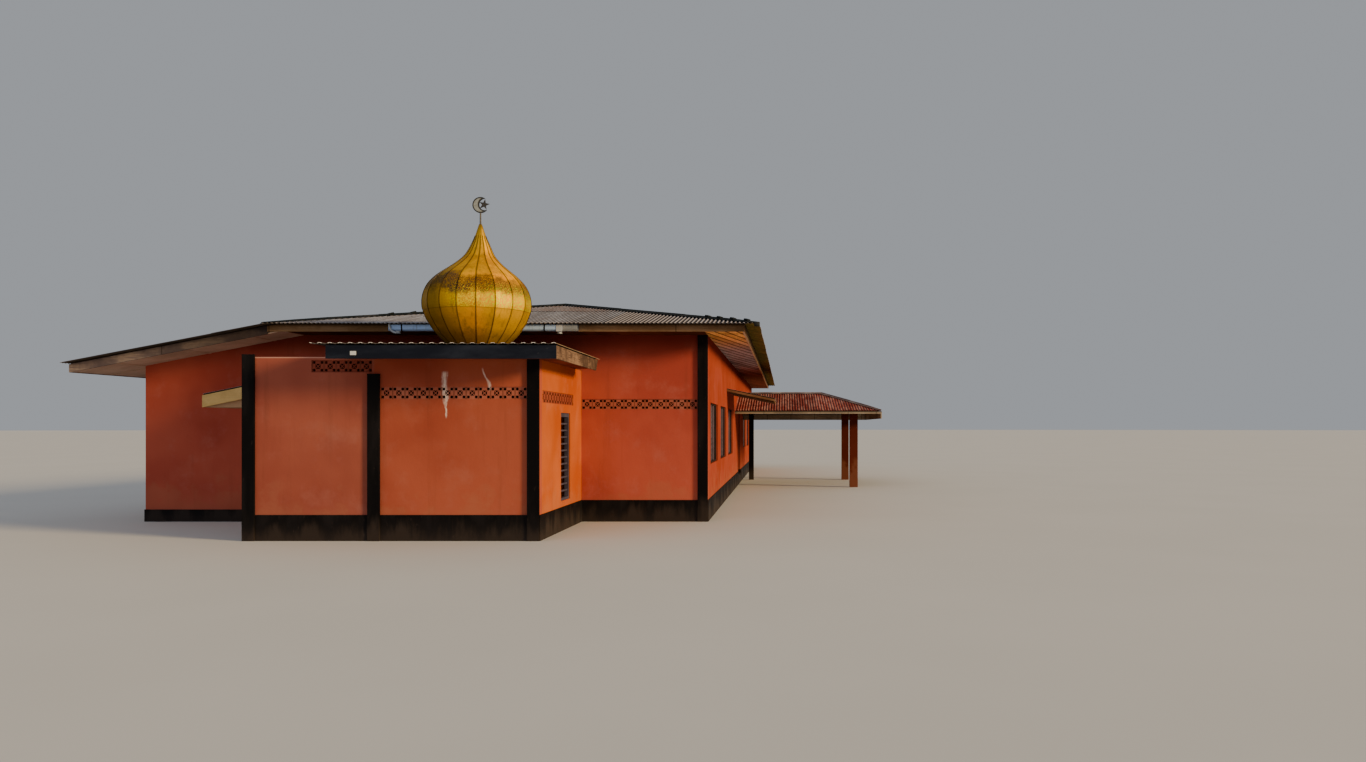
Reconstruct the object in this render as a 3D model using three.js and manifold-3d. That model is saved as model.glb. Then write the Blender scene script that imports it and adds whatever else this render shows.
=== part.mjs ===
// A single-storey prayer hall with a front room, a porch roof, an onion dome and an open annex.
// Millimetres, +X right, +Y away from the viewer, +Z up, origin under the middle of the hall floor.
import * as THREE from 'three';
import { mergeVertices } from 'three/addons/utils/BufferGeometryUtils.js';
import Module from 'manifold-3d';

const wasm = await Module();
wasm.setup();

// Hall
const WALL = 150;
const HALL_X = 5200;
const HALL_Y = 12250;
const FLOOR_TOP = 300;
const PLINTH_TOP = 400;
const PLINTH_TOP_LEFT = 224;
const PLINTH_PROUD = 15;
const MARGIN = 50;
const SEAT = 0.3;

// Hall roof
const EAVE_Z = 3580;
const EAVE_Y = 13240;
const EAVE_RIGHT = 6190;
const EAVE_LEFT = -6080;
const RIDGE_X = 1830;
const PITCH = 0.1938;
const SHEET = 40;
const HIP_RUN = EAVE_RIGHT - RIDGE_X;
const RIDGE_Z = EAVE_Z + PITCH * HIP_RUN;
const HIP_FOOT_X = RIDGE_X - HIP_RUN;
const RIDGE_END_Y = EAVE_Y - HIP_RUN;
const CAP_WIDTH = 300;
const CAP_RISE = 45;
const ABOVE_ROOF = RIDGE_Z + 2 * MARGIN;

// Eave boards and soffits
const BOARD = 30;
const FASCIA_Y = 13060;
const FASCIA_RIGHT = 5909;
const FASCIA_LEFT = -6040;
const FASCIA_BOTTOM = 3440;
const RAKE_DEPTH = 185;
const SOFFIT_Z = 3450;
const SOFFIT = 20;
const SOFFIT_DROP = 180;

// Gutter
const GUTTER_LEFT = -340;
const GUTTER_RIGHT = 2980;
const GUTTER_WIDTH = 118;
const GUTTER_TOP = 3540;
const GUTTER_BOTTOM = 3452;
const GUTTER_METAL = 8;
const OUTLET_X = [-255, 2660];
const OUTLET_RADIUS = 40;
const OUTLET_DROP = 45;

// Corner strip
const STRIP_LEFT = 5015;
const STRIP_PROUD = 40;
const STRIP_LAP = 5;

// Windows of the hall
const WINDOW_PITCH = 3000;
const WINDOW_WIDTH = 2100;
const WINDOW_SILL = 1040;
const WINDOW_HEAD = 2220;
const WINDOW_COUNT = 8;
const PANE = 10;
const PANE_BORDER = 60;
const DOORWAY_Y = 500;
const DOORWAY_WIDTH = 1400;
const DOORWAY_HEAD = 2300;
const DOOR_BAY = [3, 4];

// Front room
const ROOM_LEFT = -1690;
const ROOM_RIGHT = 2862;
const ROOM_FRONT = -15400;
const ROOM_SPLIT_X = 322;
const BAY_TOP = 2825;
const PORCH_WALL_TOP = 2790;
const ROOM_OPENING_HEAD = 2400;
const PILASTER = 185;
const PILASTER_MIDDLE_X = 230;
const PILASTER_LEFT_TOP = 2865;
const PILASTER_MIDDLE_TOP = 2565;
const BAY_SLAB_BOTTOM = 2760;
const BAY_SLAB_TOP = 2820;

// Vent blocks
const VENT_THICK = 100;
const VENT_INSET = 15;
const VENT_CORNER = 0.64;
const VENT_CORNER_HALF = 0.22;
const VENT_PETAL = 0.42;
const VENT_RIB = 0.07;
const HALL_VENTS = { start: 2867, step: 195, count: 11, low: 2075, high: 2265 };
const PORCH_VENTS = { start: 414, step: 188, count: 12, low: 2177, high: 2367 };
const BAY_VENTS = { start: -640, step: 186, count: 5, low: 2590, high: 2776 };
const SIDE_VENTS = { start: -15210, step: 188, count: 12, low: 2130, high: 2320 };

// Slatted windows of the front room
const SLAT_FROM = -13930;
const SLAT_TO = -13220;
const SLAT_SILL = 500;
const SLAT_HEAD = 1990;
const SLAT_FRAME = 45;
const SLAT_TOP_RAIL = 70;
const SLAT_COUNT = 12;
const SLAT_DEPTH = 70;
const SLAT_INSET = 20;
const SLAT_HIGH = 28;
const SLAT_THICK = 30;

// Porch roof
const PORCH_LEFT = -38;
const PORCH_RIGHT = 3296;
const PORCH_FRONT = -16190;
const PORCH_REAR = -12900;
const PORCH_SHEET_LEFT = -286;
const PORCH_SHEET_RIGHT = 3320;
const PORCH_SHEET_FRONT = -16215;
const PORCH_SHEET_Z = 2943;
const PORCH_SHEET_TOP = 2983;
const PORCH_FASCIA_BOTTOM = 2747;
const SIDE_BOARD = 25;

// Dome and finial
const DOME_X = 1586;
const DOME_TIP_X = 1636;
const DOME_LEAN_START = 4150;
const DOME_LEAN_END = 4750;
const DOME_TURN = -0.082;
const DOME_Y = -14350;
const DOME_SHELL = 25;
const DOME_GORES = 18;
const DOME_TIP = 3 * DOME_SHELL;
const DOME_OUTLINE = [
  [360, 2983], [540, 3150], [633, 3242], [695, 3320], [750, 3406], [800, 3490], [833, 3570],
  [858, 3655], [866, 3740], [862, 3820], [847, 3898], [818, 3980], [775, 4062], [708, 4144],
  [622, 4226], [515, 4308], [407, 4390], [314, 4472], [240, 4554], [193, 4636], [155, 4718],
  [118, 4800], [86, 4882], [26, 5070],
];
const ROD_RADIUS = 15;
const ROD_TOP = 5262;
const CRESCENT_Z = 5391;
const CRESCENT_RADIUS = 131;
const CRESCENT_INNER = 96;
const CRESCENT_SHIFT = 74;
const CRESCENT_THICK = 26;
const CRESCENT_TURN = 0.12;
const CRESCENT_SIDES = 40;
const STAR_RADIUS = 90;
const STAR_WAIST = 34;
const STAR_REACH = 60;
const STAR_THICK = 18;
const STAR_POINTS = 5;
const ROUND_SIDES = 16;

// Canopy over the left side of the front room
const CANOPY_X = -2640;
const CANOPY_FRONT = -14850;
const CANOPY_REAR = -12950;
const CANOPY_WALL_Z = 2480;
const CANOPY_SLOPE = 0.207;
const CANOPY_SHEET = 30;
const CANOPY_BOARD = 190;

// Awning on the right wall of the hall
const AWNING_X = 6384;
const AWNING_FRONT = -6190;
const AWNING_REAR = -2850;
const AWNING_WALL_Z = 2708;
const AWNING_SLOPE = 0.2085;
const AWNING_SHEET = 28;
const AWNING_BOARD = 110;

// Annex
const ANNEX_FRONT = -2250;
const ANNEX_REAR = 3250;
const ANNEX_RIGHT = 9390;
const ANNEX_MIDDLE = (ANNEX_FRONT + ANNEX_REAR) / 2;
const ANNEX_EAVE_Z = 2235;
const ANNEX_RIDGE_Z = 2810;
const ANNEX_RIDGE_X = 7780;
const ANNEX_BOARD_BOTTOM = 1990;
const ANNEX_FRONT_BOARD_BOTTOM = 2130;
const POST = 230;
const POST_X = 8515;
const POST_FRONT_Y = -1700;
const POST_REAR_Y = 2450;
const INNER_POST = 160;
const INNER_POST_X = 5430;

// Turns a three.js geometry into a solid for cutting and joining.
function solid(geometry) {
  const bare = geometry.clone();
  bare.deleteAttribute('normal');
  bare.deleteAttribute('uv');
  const merged = mergeVertices(bare, 1e-4);
  const mesh = new wasm.Mesh({
    numProp: 3,
    vertProperties: new Float32Array(merged.attributes.position.array),
    triVerts: new Uint32Array(merged.index.array),
  });
  return new wasm.Manifold(mesh);
}

// Turns a solid back into a three.js geometry with flat faces.
function surface(body) {
  const mesh = body.getMesh();
  const geometry = new THREE.BufferGeometry();
  geometry.setAttribute('position', new THREE.BufferAttribute(new Float32Array(mesh.vertProperties), 3));
  geometry.setIndex(new THREE.BufferAttribute(new Uint32Array(mesh.triVerts), 1));
  const flat = geometry.toNonIndexed();
  flat.computeVertexNormals();
  return flat;
}

// A box between two corners.
function box(x0, x1, y0, y1, z0, z1) {
  const geometry = new THREE.BoxGeometry(x1 - x0, y1 - y0, z1 - z0);
  geometry.translate((x0 + x1) / 2, (y0 + y1) / 2, (z0 + z1) / 2);
  return solid(geometry);
}

// An extruded outline, with its depth along the local z axis.
function extruded(outline, depth) {
  const shape = new THREE.Shape(outline.map(([u, v]) => new THREE.Vector2(u, v)));
  return new THREE.ExtrudeGeometry(shape, { depth, bevelEnabled: false });
}

// An outline in x and z, drawn out along y.
function alongY(outline, y0, y1) {
  const geometry = extruded(outline, y1 - y0);
  geometry.rotateX(Math.PI / 2);
  geometry.translate(0, y1, 0);
  return solid(geometry);
}

// An outline in y and z, drawn out along x.
function alongX(outline, x0, x1) {
  const geometry = extruded(outline, x1 - x0);
  const turn = new THREE.Matrix4().makeBasis(
    new THREE.Vector3(0, 1, 0),
    new THREE.Vector3(0, 0, 1),
    new THREE.Vector3(1, 0, 0),
  );
  geometry.applyMatrix4(turn);
  geometry.translate(x0, 0, 0);
  return solid(geometry);
}

// An outline in x and y, drawn out upwards.
function alongZ(outline, z0, z1) {
  const geometry = extruded(outline, z1 - z0);
  geometry.translate(0, 0, z0);
  return solid(geometry);
}

// A named mesh with its own material.
function piece(name, body, color, roughness, metalness = 0) {
  const material = new THREE.MeshStandardMaterial({ color, roughness, metalness });
  const mesh = new THREE.Mesh(surface(body), material);
  mesh.name = name;
  return mesh;
}

// Height of the hall's left roof plane above a given x.
function leftPlane(x) {
  return RIDGE_Z - PITCH * (RIDGE_X - x);
}

// Everything under the hall roof's top face, raised by the given lift.
function underRoof(lift) {
  const across = alongY([
    [EAVE_LEFT, -MARGIN],
    [EAVE_RIGHT, -MARGIN],
    [EAVE_RIGHT, EAVE_Z + lift],
    [RIDGE_X, RIDGE_Z + lift],
    [EAVE_LEFT, leftPlane(EAVE_LEFT) + lift],
  ], -EAVE_Y, EAVE_Y);
  const along = alongX([
    [-EAVE_Y, -MARGIN],
    [EAVE_Y, -MARGIN],
    [EAVE_Y, EAVE_Z + lift],
    [RIDGE_END_Y, RIDGE_Z + lift],
    [-RIDGE_END_Y, RIDGE_Z + lift],
    [-EAVE_Y, EAVE_Z + lift],
  ], EAVE_LEFT, EAVE_RIGHT);
  return across.intersect(along);
}

const underSheets = underRoof(-SHEET - SEAT);
const roofShell = underRoof(0).subtract(underRoof(-SHEET));

// One plane of the hall roof, cut from the shell by its outline in plan.
function roofPlane(outline) {
  return roofShell.intersect(alongZ(outline, 0, ABOVE_ROOF));
}

function roofFront() {
  return roofPlane([[HIP_FOOT_X, -EAVE_Y], [EAVE_RIGHT, -EAVE_Y], [RIDGE_X, -RIDGE_END_Y]]);
}

function roofRear() {
  return roofPlane([[EAVE_RIGHT, EAVE_Y], [HIP_FOOT_X, EAVE_Y], [RIDGE_X, RIDGE_END_Y]]);
}

function roofRight() {
  return roofPlane([
    [EAVE_RIGHT, -EAVE_Y],
    [EAVE_RIGHT, EAVE_Y],
    [RIDGE_X, RIDGE_END_Y],
    [RIDGE_X, -RIDGE_END_Y],
  ]);
}

function roofLeft() {
  return roofPlane([
    [EAVE_LEFT, -EAVE_Y],
    [HIP_FOOT_X, -EAVE_Y],
    [RIDGE_X, -RIDGE_END_Y],
    [RIDGE_X, RIDGE_END_Y],
    [HIP_FOOT_X, EAVE_Y],
    [EAVE_LEFT, EAVE_Y],
  ]);
}

// A strip in plan along a line between two points.
function planStrip(from, to, width) {
  const [x0, y0] = from;
  const [x1, y1] = to;
  const length = Math.hypot(x1 - x0, y1 - y0);
  const nx = (-(y1 - y0) / length) * (width / 2);
  const ny = ((x1 - x0) / length) * (width / 2);
  return alongZ([[x0 - nx, y0 - ny], [x1 - nx, y1 - ny], [x1 + nx, y1 + ny], [x0 + nx, y0 + ny]],
    0, ABOVE_ROOF);
}

// The cappings of the ridge and of the four hips, in one piece that lies on the sheets.
function ridgeCaps() {
  const front = [RIDGE_X, -RIDGE_END_Y];
  const rear = [RIDGE_X, RIDGE_END_Y];
  const strips = [
    planStrip([RIDGE_X, -RIDGE_END_Y - CAP_WIDTH / 2], [RIDGE_X, RIDGE_END_Y + CAP_WIDTH / 2], CAP_WIDTH),
    planStrip([EAVE_RIGHT, -EAVE_Y], front, CAP_WIDTH),
    planStrip([HIP_FOOT_X, -EAVE_Y], front, CAP_WIDTH),
    planStrip([EAVE_RIGHT, EAVE_Y], rear, CAP_WIDTH),
    planStrip([HIP_FOOT_X, EAVE_Y], rear, CAP_WIDTH),
  ];
  let plan = strips[0];
  for (const strip of strips.slice(1)) {
    plan = plan.add(strip);
  }
  return underRoof(CAP_RISE).subtract(underRoof(SEAT)).intersect(plan);
}

// The floor slab of the hall and of the front room.
function floorSlab() {
  const hall = box(-HALL_X + WALL, HALL_X - WALL, -HALL_Y + WALL, HALL_Y - WALL, 0, FLOOR_TOP);
  const room = box(ROOM_LEFT + WALL, ROOM_RIGHT - WALL, ROOM_FRONT + WALL, -HALL_Y + WALL, 0, FLOOR_TOP);
  return hall.add(room);
}

// The black strip at the front right corner of the hall, from the ground up to the soffit.
function cornerStrip() {
  return box(STRIP_LEFT, HALL_X + STRIP_LAP, -HALL_Y - STRIP_PROUD, -HALL_Y, 0, SOFFIT_Z);
}

// A black strip on the face of the front room.
function pilaster(left, top) {
  return box(left, left + PILASTER, ROOM_FRONT - STRIP_PROUD, ROOM_FRONT, 0, top);
}

const pilasterLeft = () => pilaster(ROOM_LEFT, PILASTER_LEFT_TOP);
const pilasterMiddle = () => pilaster(PILASTER_MIDDLE_X, PILASTER_MIDDLE_TOP);
const pilasterRight = () => pilaster(ROOM_RIGHT - PILASTER, PORCH_WALL_TOP);

// The plinth that carries the outer walls, lower on the left of the front.
function plinth() {
  const edge = PLINTH_PROUD;
  const hall = box(-HALL_X - edge, HALL_X + edge, -HALL_Y - edge, HALL_Y + edge, 0, PLINTH_TOP);
  const room = box(ROOM_LEFT - edge, ROOM_RIGHT + edge, ROOM_FRONT - edge, -HALL_Y, 0, PLINTH_TOP);
  const hallInside = box(-HALL_X + WALL, HALL_X - WALL, -HALL_Y + WALL, HALL_Y - WALL, -MARGIN,
    PLINTH_TOP + MARGIN);
  const roomInside = box(ROOM_LEFT + WALL, ROOM_RIGHT - WALL, ROOM_FRONT + WALL, -HALL_Y + WALL + MARGIN,
    -MARGIN, PLINTH_TOP + MARGIN);
  const lowered = box(-HALL_X - MARGIN, ROOM_LEFT - edge, -HALL_Y - MARGIN, -HALL_Y + WALL,
    PLINTH_TOP_LEFT, PLINTH_TOP + MARGIN);
  const sill = box(HALL_X - WALL - MARGIN, HALL_X + MARGIN, DOORWAY_Y - DOORWAY_WIDTH / 2,
    DOORWAY_Y + DOORWAY_WIDTH / 2, FLOOR_TOP, PLINTH_TOP + MARGIN);
  return hall.add(room)
    .subtract(hallInside)
    .subtract(roomInside)
    .subtract(lowered)
    .subtract(sill)
    .subtract(cornerStrip())
    .subtract(pilasterLeft())
    .subtract(pilasterMiddle())
    .subtract(pilasterRight());
}

const plinthBody = plinth();

// A wall of the hall: its box, trimmed by the roof above and the plinth below.
function hallWall(x0, x1, y0, y1) {
  return box(x0, x1, y0, y1, 0, ABOVE_ROOF).intersect(underSheets).subtract(plinthBody);
}

// The slot for a row of vent blocks in a wall that faces the viewer.
function ventSlot(vents, wallFace) {
  return box(vents.start, vents.start + vents.step * vents.count, wallFace - MARGIN, wallFace + WALL + MARGIN,
    vents.low, vents.high);
}

function hallFrontWall() {
  const opening = box(ROOM_LEFT + WALL, ROOM_RIGHT - WALL, -HALL_Y - MARGIN, -HALL_Y + WALL + MARGIN,
    -MARGIN, ROOM_OPENING_HEAD);
  return hallWall(-HALL_X, HALL_X, -HALL_Y, -HALL_Y + WALL)
    .subtract(opening)
    .subtract(ventSlot(HALL_VENTS, -HALL_Y));
}

function hallRearWall() {
  return hallWall(-HALL_X, HALL_X, HALL_Y - WALL, HALL_Y);
}

// Centres of the window openings along a side wall.
function windowCentres() {
  const centres = [];
  for (let index = 0; index < WINDOW_COUNT; index += 1) {
    centres.push((index - (WINDOW_COUNT - 1) / 2) * WINDOW_PITCH);
  }
  return centres;
}

// A window opening through the side wall whose inner or outer face is at x0.
function windowHole(centre, x0) {
  return box(x0 - MARGIN, x0 + WALL + MARGIN, centre - WINDOW_WIDTH / 2, centre + WINDOW_WIDTH / 2,
    WINDOW_SILL, WINDOW_HEAD);
}

function hallLeftWall() {
  let wall = hallWall(-HALL_X, -HALL_X + WALL, -HALL_Y + WALL, HALL_Y - WALL);
  for (const centre of windowCentres()) {
    wall = wall.subtract(windowHole(centre, -HALL_X));
  }
  return wall;
}

function hallRightWall() {
  let wall = hallWall(HALL_X - WALL, HALL_X, -HALL_Y + WALL, HALL_Y - WALL);
  windowCentres().forEach((centre, index) => {
    if (!DOOR_BAY.includes(index)) {
      wall = wall.subtract(windowHole(centre, HALL_X - WALL));
    }
  });
  const doorway = box(HALL_X - WALL - MARGIN, HALL_X + MARGIN, DOORWAY_Y - DOORWAY_WIDTH / 2,
    DOORWAY_Y + DOORWAY_WIDTH / 2, FLOOR_TOP - MARGIN, DOORWAY_HEAD);
  return wall.subtract(doorway);
}

// One sheet behind all the windows of a side wall, with a gap for the doorway on the right.
function windowSheet(x0, x1, withDoorway) {
  const reach = ((WINDOW_COUNT - 1) / 2) * WINDOW_PITCH + WINDOW_WIDTH / 2 + PANE_BORDER;
  const sheet = box(x0, x1, -reach, reach, WINDOW_SILL - PANE_BORDER, DOORWAY_HEAD + 2 * PANE_BORDER);
  if (!withDoorway) {
    return sheet;
  }
  return sheet.subtract(box(x0 - MARGIN, x1 + MARGIN, DOORWAY_Y - DOORWAY_WIDTH / 2,
    DOORWAY_Y + DOORWAY_WIDTH / 2, 0, DOORWAY_HEAD));
}

// The left part of the front room's face; its top steps down under the porch roof.
function bayWall() {
  const wall = box(ROOM_LEFT, ROOM_SPLIT_X, ROOM_FRONT, ROOM_FRONT + WALL, 0, BAY_TOP);
  const step = box(PORCH_LEFT - SIDE_BOARD, ROOM_SPLIT_X + MARGIN, ROOM_FRONT - MARGIN,
    ROOM_FRONT + WALL + MARGIN, PORCH_WALL_TOP, BAY_TOP + MARGIN);
  return wall.subtract(step).subtract(ventSlot(BAY_VENTS, ROOM_FRONT)).subtract(plinthBody);
}

function porchWall() {
  const wall = box(ROOM_SPLIT_X, ROOM_RIGHT, ROOM_FRONT, ROOM_FRONT + WALL, 0, PORCH_WALL_TOP);
  return wall.subtract(ventSlot(PORCH_VENTS, ROOM_FRONT)).subtract(plinthBody);
}

function roomSideWall(x0, top) {
  const vents = SIDE_VENTS;
  const ventHole = box(x0 - MARGIN, x0 + WALL + MARGIN, vents.start, vents.start + vents.step * vents.count,
    vents.low, vents.high);
  const windowOpening = box(x0 - MARGIN, x0 + WALL + MARGIN, SLAT_FROM, SLAT_TO, SLAT_SILL, SLAT_HEAD);
  return box(x0, x0 + WALL, ROOM_FRONT + WALL, -HALL_Y, 0, top)
    .subtract(ventHole)
    .subtract(windowOpening)
    .subtract(plinthBody);
}

// The eight holes of a vent block of the given half sizes: a square one at each corner, and four
// triangles between the ribs of a diagonal cross in the middle.
function ventHoles(halfWidth, halfHeight) {
  const holes = [];
  for (const [sideX, sideY] of [[-1, -1], [1, -1], [1, 1], [-1, 1]]) {
    const u = sideX * VENT_CORNER;
    const v = sideY * VENT_CORNER;
    const half = VENT_CORNER_HALF;
    holes.push([[u - half, v - half], [u + half, v - half], [u + half, v + half], [u - half, v + half]]);
  }
  const far = VENT_PETAL;
  const wide = VENT_PETAL - VENT_RIB;
  holes.push([[-wide, -far], [wide, -far], [0, -VENT_RIB]]);
  holes.push([[far, -wide], [far, wide], [VENT_RIB, 0]]);
  holes.push([[wide, far], [-wide, far], [0, VENT_RIB]]);
  holes.push([[-far, wide], [-far, -wide], [-VENT_RIB, 0]]);
  return holes.map((hole) => hole.map(([u, v]) => [u * halfWidth, v * halfHeight]));
}

// A row of square vent blocks as one pierced plate in u and v.
function ventPlate(vents) {
  const height = vents.high - vents.low;
  let plate = solid(extruded([[0, 0], [vents.step * vents.count, 0], [vents.step * vents.count, height],
    [0, height]], VENT_THICK));
  const holes = ventHoles(vents.step / 2, height / 2);
  for (let index = 0; index < vents.count; index += 1) {
    for (const hole of holes) {
      const cutter = extruded(hole, VENT_THICK + 2 * MARGIN);
      cutter.translate(vents.step * (index + 0.5), height / 2, -MARGIN);
      plate = plate.subtract(solid(cutter));
    }
  }
  return plate;
}

// Stands a plate of vent blocks up in a wall that faces the viewer.
function frontVents(vents, wallFace) {
  const geometry = surface(ventPlate(vents));
  geometry.rotateX(Math.PI / 2);
  geometry.translate(vents.start, wallFace + VENT_INSET + VENT_THICK, vents.low);
  return solid(geometry);
}

// Stands a plate of vent blocks up in a side wall.
function sideVents(vents, x0) {
  const geometry = surface(ventPlate(vents));
  geometry.rotateX(Math.PI / 2);
  geometry.rotateZ(Math.PI / 2);
  geometry.translate(x0, vents.start, vents.low);
  return solid(geometry);
}

// A slatted window for a side wall of the front room: frame and level bars in one piece.
function slattedWindow(x0) {
  const x1 = x0 + SLAT_DEPTH;
  const low = SLAT_SILL + SLAT_FRAME;
  const high = SLAT_HEAD - SLAT_TOP_RAIL;
  let body = box(x0, x1, SLAT_FROM, SLAT_TO, SLAT_SILL, SLAT_HEAD)
    .subtract(box(x0 - MARGIN, x1 + MARGIN, SLAT_FROM + SLAT_FRAME, SLAT_TO - SLAT_FRAME, low, high));
  const pitch = (high - low) / SLAT_COUNT;
  const barX = (x0 + x1 - SLAT_THICK) / 2;
  for (let index = 1; index < SLAT_COUNT; index += 1) {
    const z = low + pitch * index - SLAT_HIGH / 2;
    body = body.add(box(barX, barX + SLAT_THICK, SLAT_FROM + SLAT_FRAME / 2, SLAT_TO - SLAT_FRAME / 2,
      z, z + SLAT_HIGH));
  }
  return body;
}

function baySlab() {
  return box(ROOM_LEFT + WALL, PORCH_LEFT - SIDE_BOARD, ROOM_FRONT + WALL, -HALL_Y, BAY_SLAB_BOTTOM,
    BAY_SLAB_TOP);
}

// The porch roof in plan: wide over the porch, as wide as the room behind it.
function porchPlan(left, right, front) {
  return [
    [left, front],
    [right, front],
    [right, PORCH_REAR],
    [ROOM_RIGHT, PORCH_REAR],
    [ROOM_RIGHT, -HALL_Y],
    [left, -HALL_Y],
  ];
}

function porchRoof() {
  return alongZ(porchPlan(PORCH_SHEET_LEFT, PORCH_SHEET_RIGHT, PORCH_SHEET_FRONT), PORCH_SHEET_Z,
    PORCH_SHEET_TOP);
}

function porchSoffit() {
  return alongZ(porchPlan(PORCH_LEFT, PORCH_RIGHT - SIDE_BOARD, PORCH_FRONT + BOARD), PORCH_WALL_TOP,
    PORCH_WALL_TOP + SOFFIT);
}

function porchFasciaFront() {
  return box(PORCH_LEFT - SIDE_BOARD, PORCH_RIGHT, PORCH_FRONT, PORCH_FRONT + BOARD, PORCH_FASCIA_BOTTOM,
    PORCH_SHEET_Z);
}

function porchFasciaRight() {
  return box(PORCH_RIGHT - SIDE_BOARD, PORCH_RIGHT, PORCH_FRONT + BOARD, PORCH_REAR, PORCH_FASCIA_BOTTOM,
    PORCH_SHEET_Z);
}

function porchFasciaLeft() {
  return box(PORCH_LEFT - SIDE_BOARD, PORCH_LEFT, PORCH_FRONT + BOARD, -HALL_Y, PORCH_WALL_TOP,
    PORCH_SHEET_Z);
}

// The dome: a metal shell of flat gores, open underneath, that stands on the porch roof. Its neck
// leans a little to the right.
function dome() {
  const outer = DOME_OUTLINE.map(([radius, z]) => new THREE.Vector2(radius, z));
  const tipZ = DOME_OUTLINE[DOME_OUTLINE.length - 1][1];
  const inner = DOME_OUTLINE
    .filter(([radius]) => radius > DOME_TIP)
    .map(([radius, z]) => new THREE.Vector2(radius - DOME_SHELL, z));
  const top = inner[inner.length - 1];
  const profile = [new THREE.Vector2(0, top.y + DOME_SHELL), ...inner.reverse(), ...outer,
    new THREE.Vector2(0, tipZ)];
  const geometry = new THREE.LatheGeometry(profile, DOME_GORES);
  geometry.rotateX(Math.PI / 2);
  geometry.rotateZ(DOME_TURN);
  geometry.translate(DOME_X, DOME_Y, 0);
  const points = geometry.attributes.position;
  for (let index = 0; index < points.count; index += 1) {
    const share = THREE.MathUtils.smoothstep(points.getZ(index), DOME_LEAN_START, DOME_LEAN_END);
    points.setX(index, points.getX(index) + share * (DOME_TIP_X - DOME_X));
  }
  return solid(geometry);
}

function finialRod() {
  const tipZ = DOME_OUTLINE[DOME_OUTLINE.length - 1][1];
  const geometry = new THREE.CylinderGeometry(ROD_RADIUS, ROD_RADIUS, ROD_TOP - tipZ, ROUND_SIDES);
  geometry.rotateX(Math.PI / 2);
  geometry.translate(DOME_TIP_X, DOME_Y, (ROD_TOP + tipZ) / 2);
  return solid(geometry);
}

// A disc that faces the viewer.
function disc(radius, thick, x, z) {
  const geometry = new THREE.CylinderGeometry(radius, radius, thick, CRESCENT_SIDES);
  geometry.translate(x, 0, z);
  return solid(geometry);
}

// The open crescent ring, with its horns to the right; clearance swells it for cutting its neighbours.
function crescent(clearance = 0) {
  const hollowX = CRESCENT_SHIFT * Math.cos(CRESCENT_TURN);
  const hollowZ = CRESCENT_SHIFT * Math.sin(CRESCENT_TURN);
  const ring = disc(CRESCENT_RADIUS + clearance, CRESCENT_THICK, 0, 0)
    .subtract(disc(CRESCENT_INNER - clearance, CRESCENT_THICK + MARGIN, hollowX, hollowZ));
  const geometry = surface(ring);
  geometry.translate(DOME_TIP_X, DOME_Y, CRESCENT_Z);
  return solid(geometry).subtract(finialRod());
}

function star() {
  const outline = [];
  for (let index = 0; index < 2 * STAR_POINTS; index += 1) {
    const radius = index % 2 === 0 ? STAR_RADIUS : STAR_WAIST;
    const angle = CRESCENT_TURN + (index * Math.PI) / STAR_POINTS;
    outline.push([radius * Math.cos(angle), radius * Math.sin(angle)]);
  }
  const geometry = extruded(outline, STAR_THICK);
  geometry.rotateX(Math.PI / 2);
  geometry.translate(DOME_TIP_X + STAR_REACH * Math.cos(CRESCENT_TURN), DOME_Y + STAR_THICK / 2,
    CRESCENT_Z + STAR_REACH * Math.sin(CRESCENT_TURN));
  return solid(geometry).subtract(crescent(SEAT));
}

// Eave boards of the hall.
function fasciaFront() {
  return box(HIP_FOOT_X, FASCIA_RIGHT, -FASCIA_Y, -FASCIA_Y + BOARD, FASCIA_BOTTOM, ABOVE_ROOF)
    .intersect(underSheets);
}

function fasciaRight() {
  return box(FASCIA_RIGHT - BOARD, FASCIA_RIGHT, -FASCIA_Y + BOARD, FASCIA_Y - BOARD, FASCIA_BOTTOM,
    ABOVE_ROOF).intersect(underSheets);
}

// The outline of a raking board under the left plane, in x and z.
function rakeOutline(top) {
  return [
    [FASCIA_LEFT, leftPlane(FASCIA_LEFT) - RAKE_DEPTH],
    [HIP_FOOT_X, leftPlane(HIP_FOOT_X) - RAKE_DEPTH],
    [HIP_FOOT_X, top],
    [FASCIA_LEFT, top],
  ];
}

function rakeBoardFront() {
  return alongY(rakeOutline(ABOVE_ROOF), -FASCIA_Y, -FASCIA_Y + BOARD).intersect(underSheets);
}

function fasciaRear() {
  const level = box(HIP_FOOT_X, FASCIA_RIGHT, FASCIA_Y - BOARD, FASCIA_Y, FASCIA_BOTTOM, ABOVE_ROOF);
  return level.add(alongY(rakeOutline(ABOVE_ROOF), FASCIA_Y - BOARD, FASCIA_Y)).intersect(underSheets);
}

function fasciaLeft() {
  return box(FASCIA_LEFT, FASCIA_LEFT + BOARD, -FASCIA_Y + BOARD, FASCIA_Y - BOARD,
    leftPlane(FASCIA_LEFT) - RAKE_DEPTH, ABOVE_ROOF).intersect(underSheets);
}

// The x at which the sloping left soffit meets the level one.
const SOFFIT_JOIN_X = RIDGE_X - (RIDGE_Z - SOFFIT_DROP - SOFFIT_Z) / PITCH;

function hallBlock() {
  return box(-HALL_X, HALL_X, -HALL_Y, HALL_Y, 0, ABOVE_ROOF);
}

// The level soffit under the front, right and rear eaves.
function soffitLevel() {
  return box(SOFFIT_JOIN_X, FASCIA_RIGHT - BOARD, -FASCIA_Y + BOARD, FASCIA_Y - BOARD, SOFFIT_Z,
    SOFFIT_Z + SOFFIT).subtract(hallBlock());
}

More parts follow.
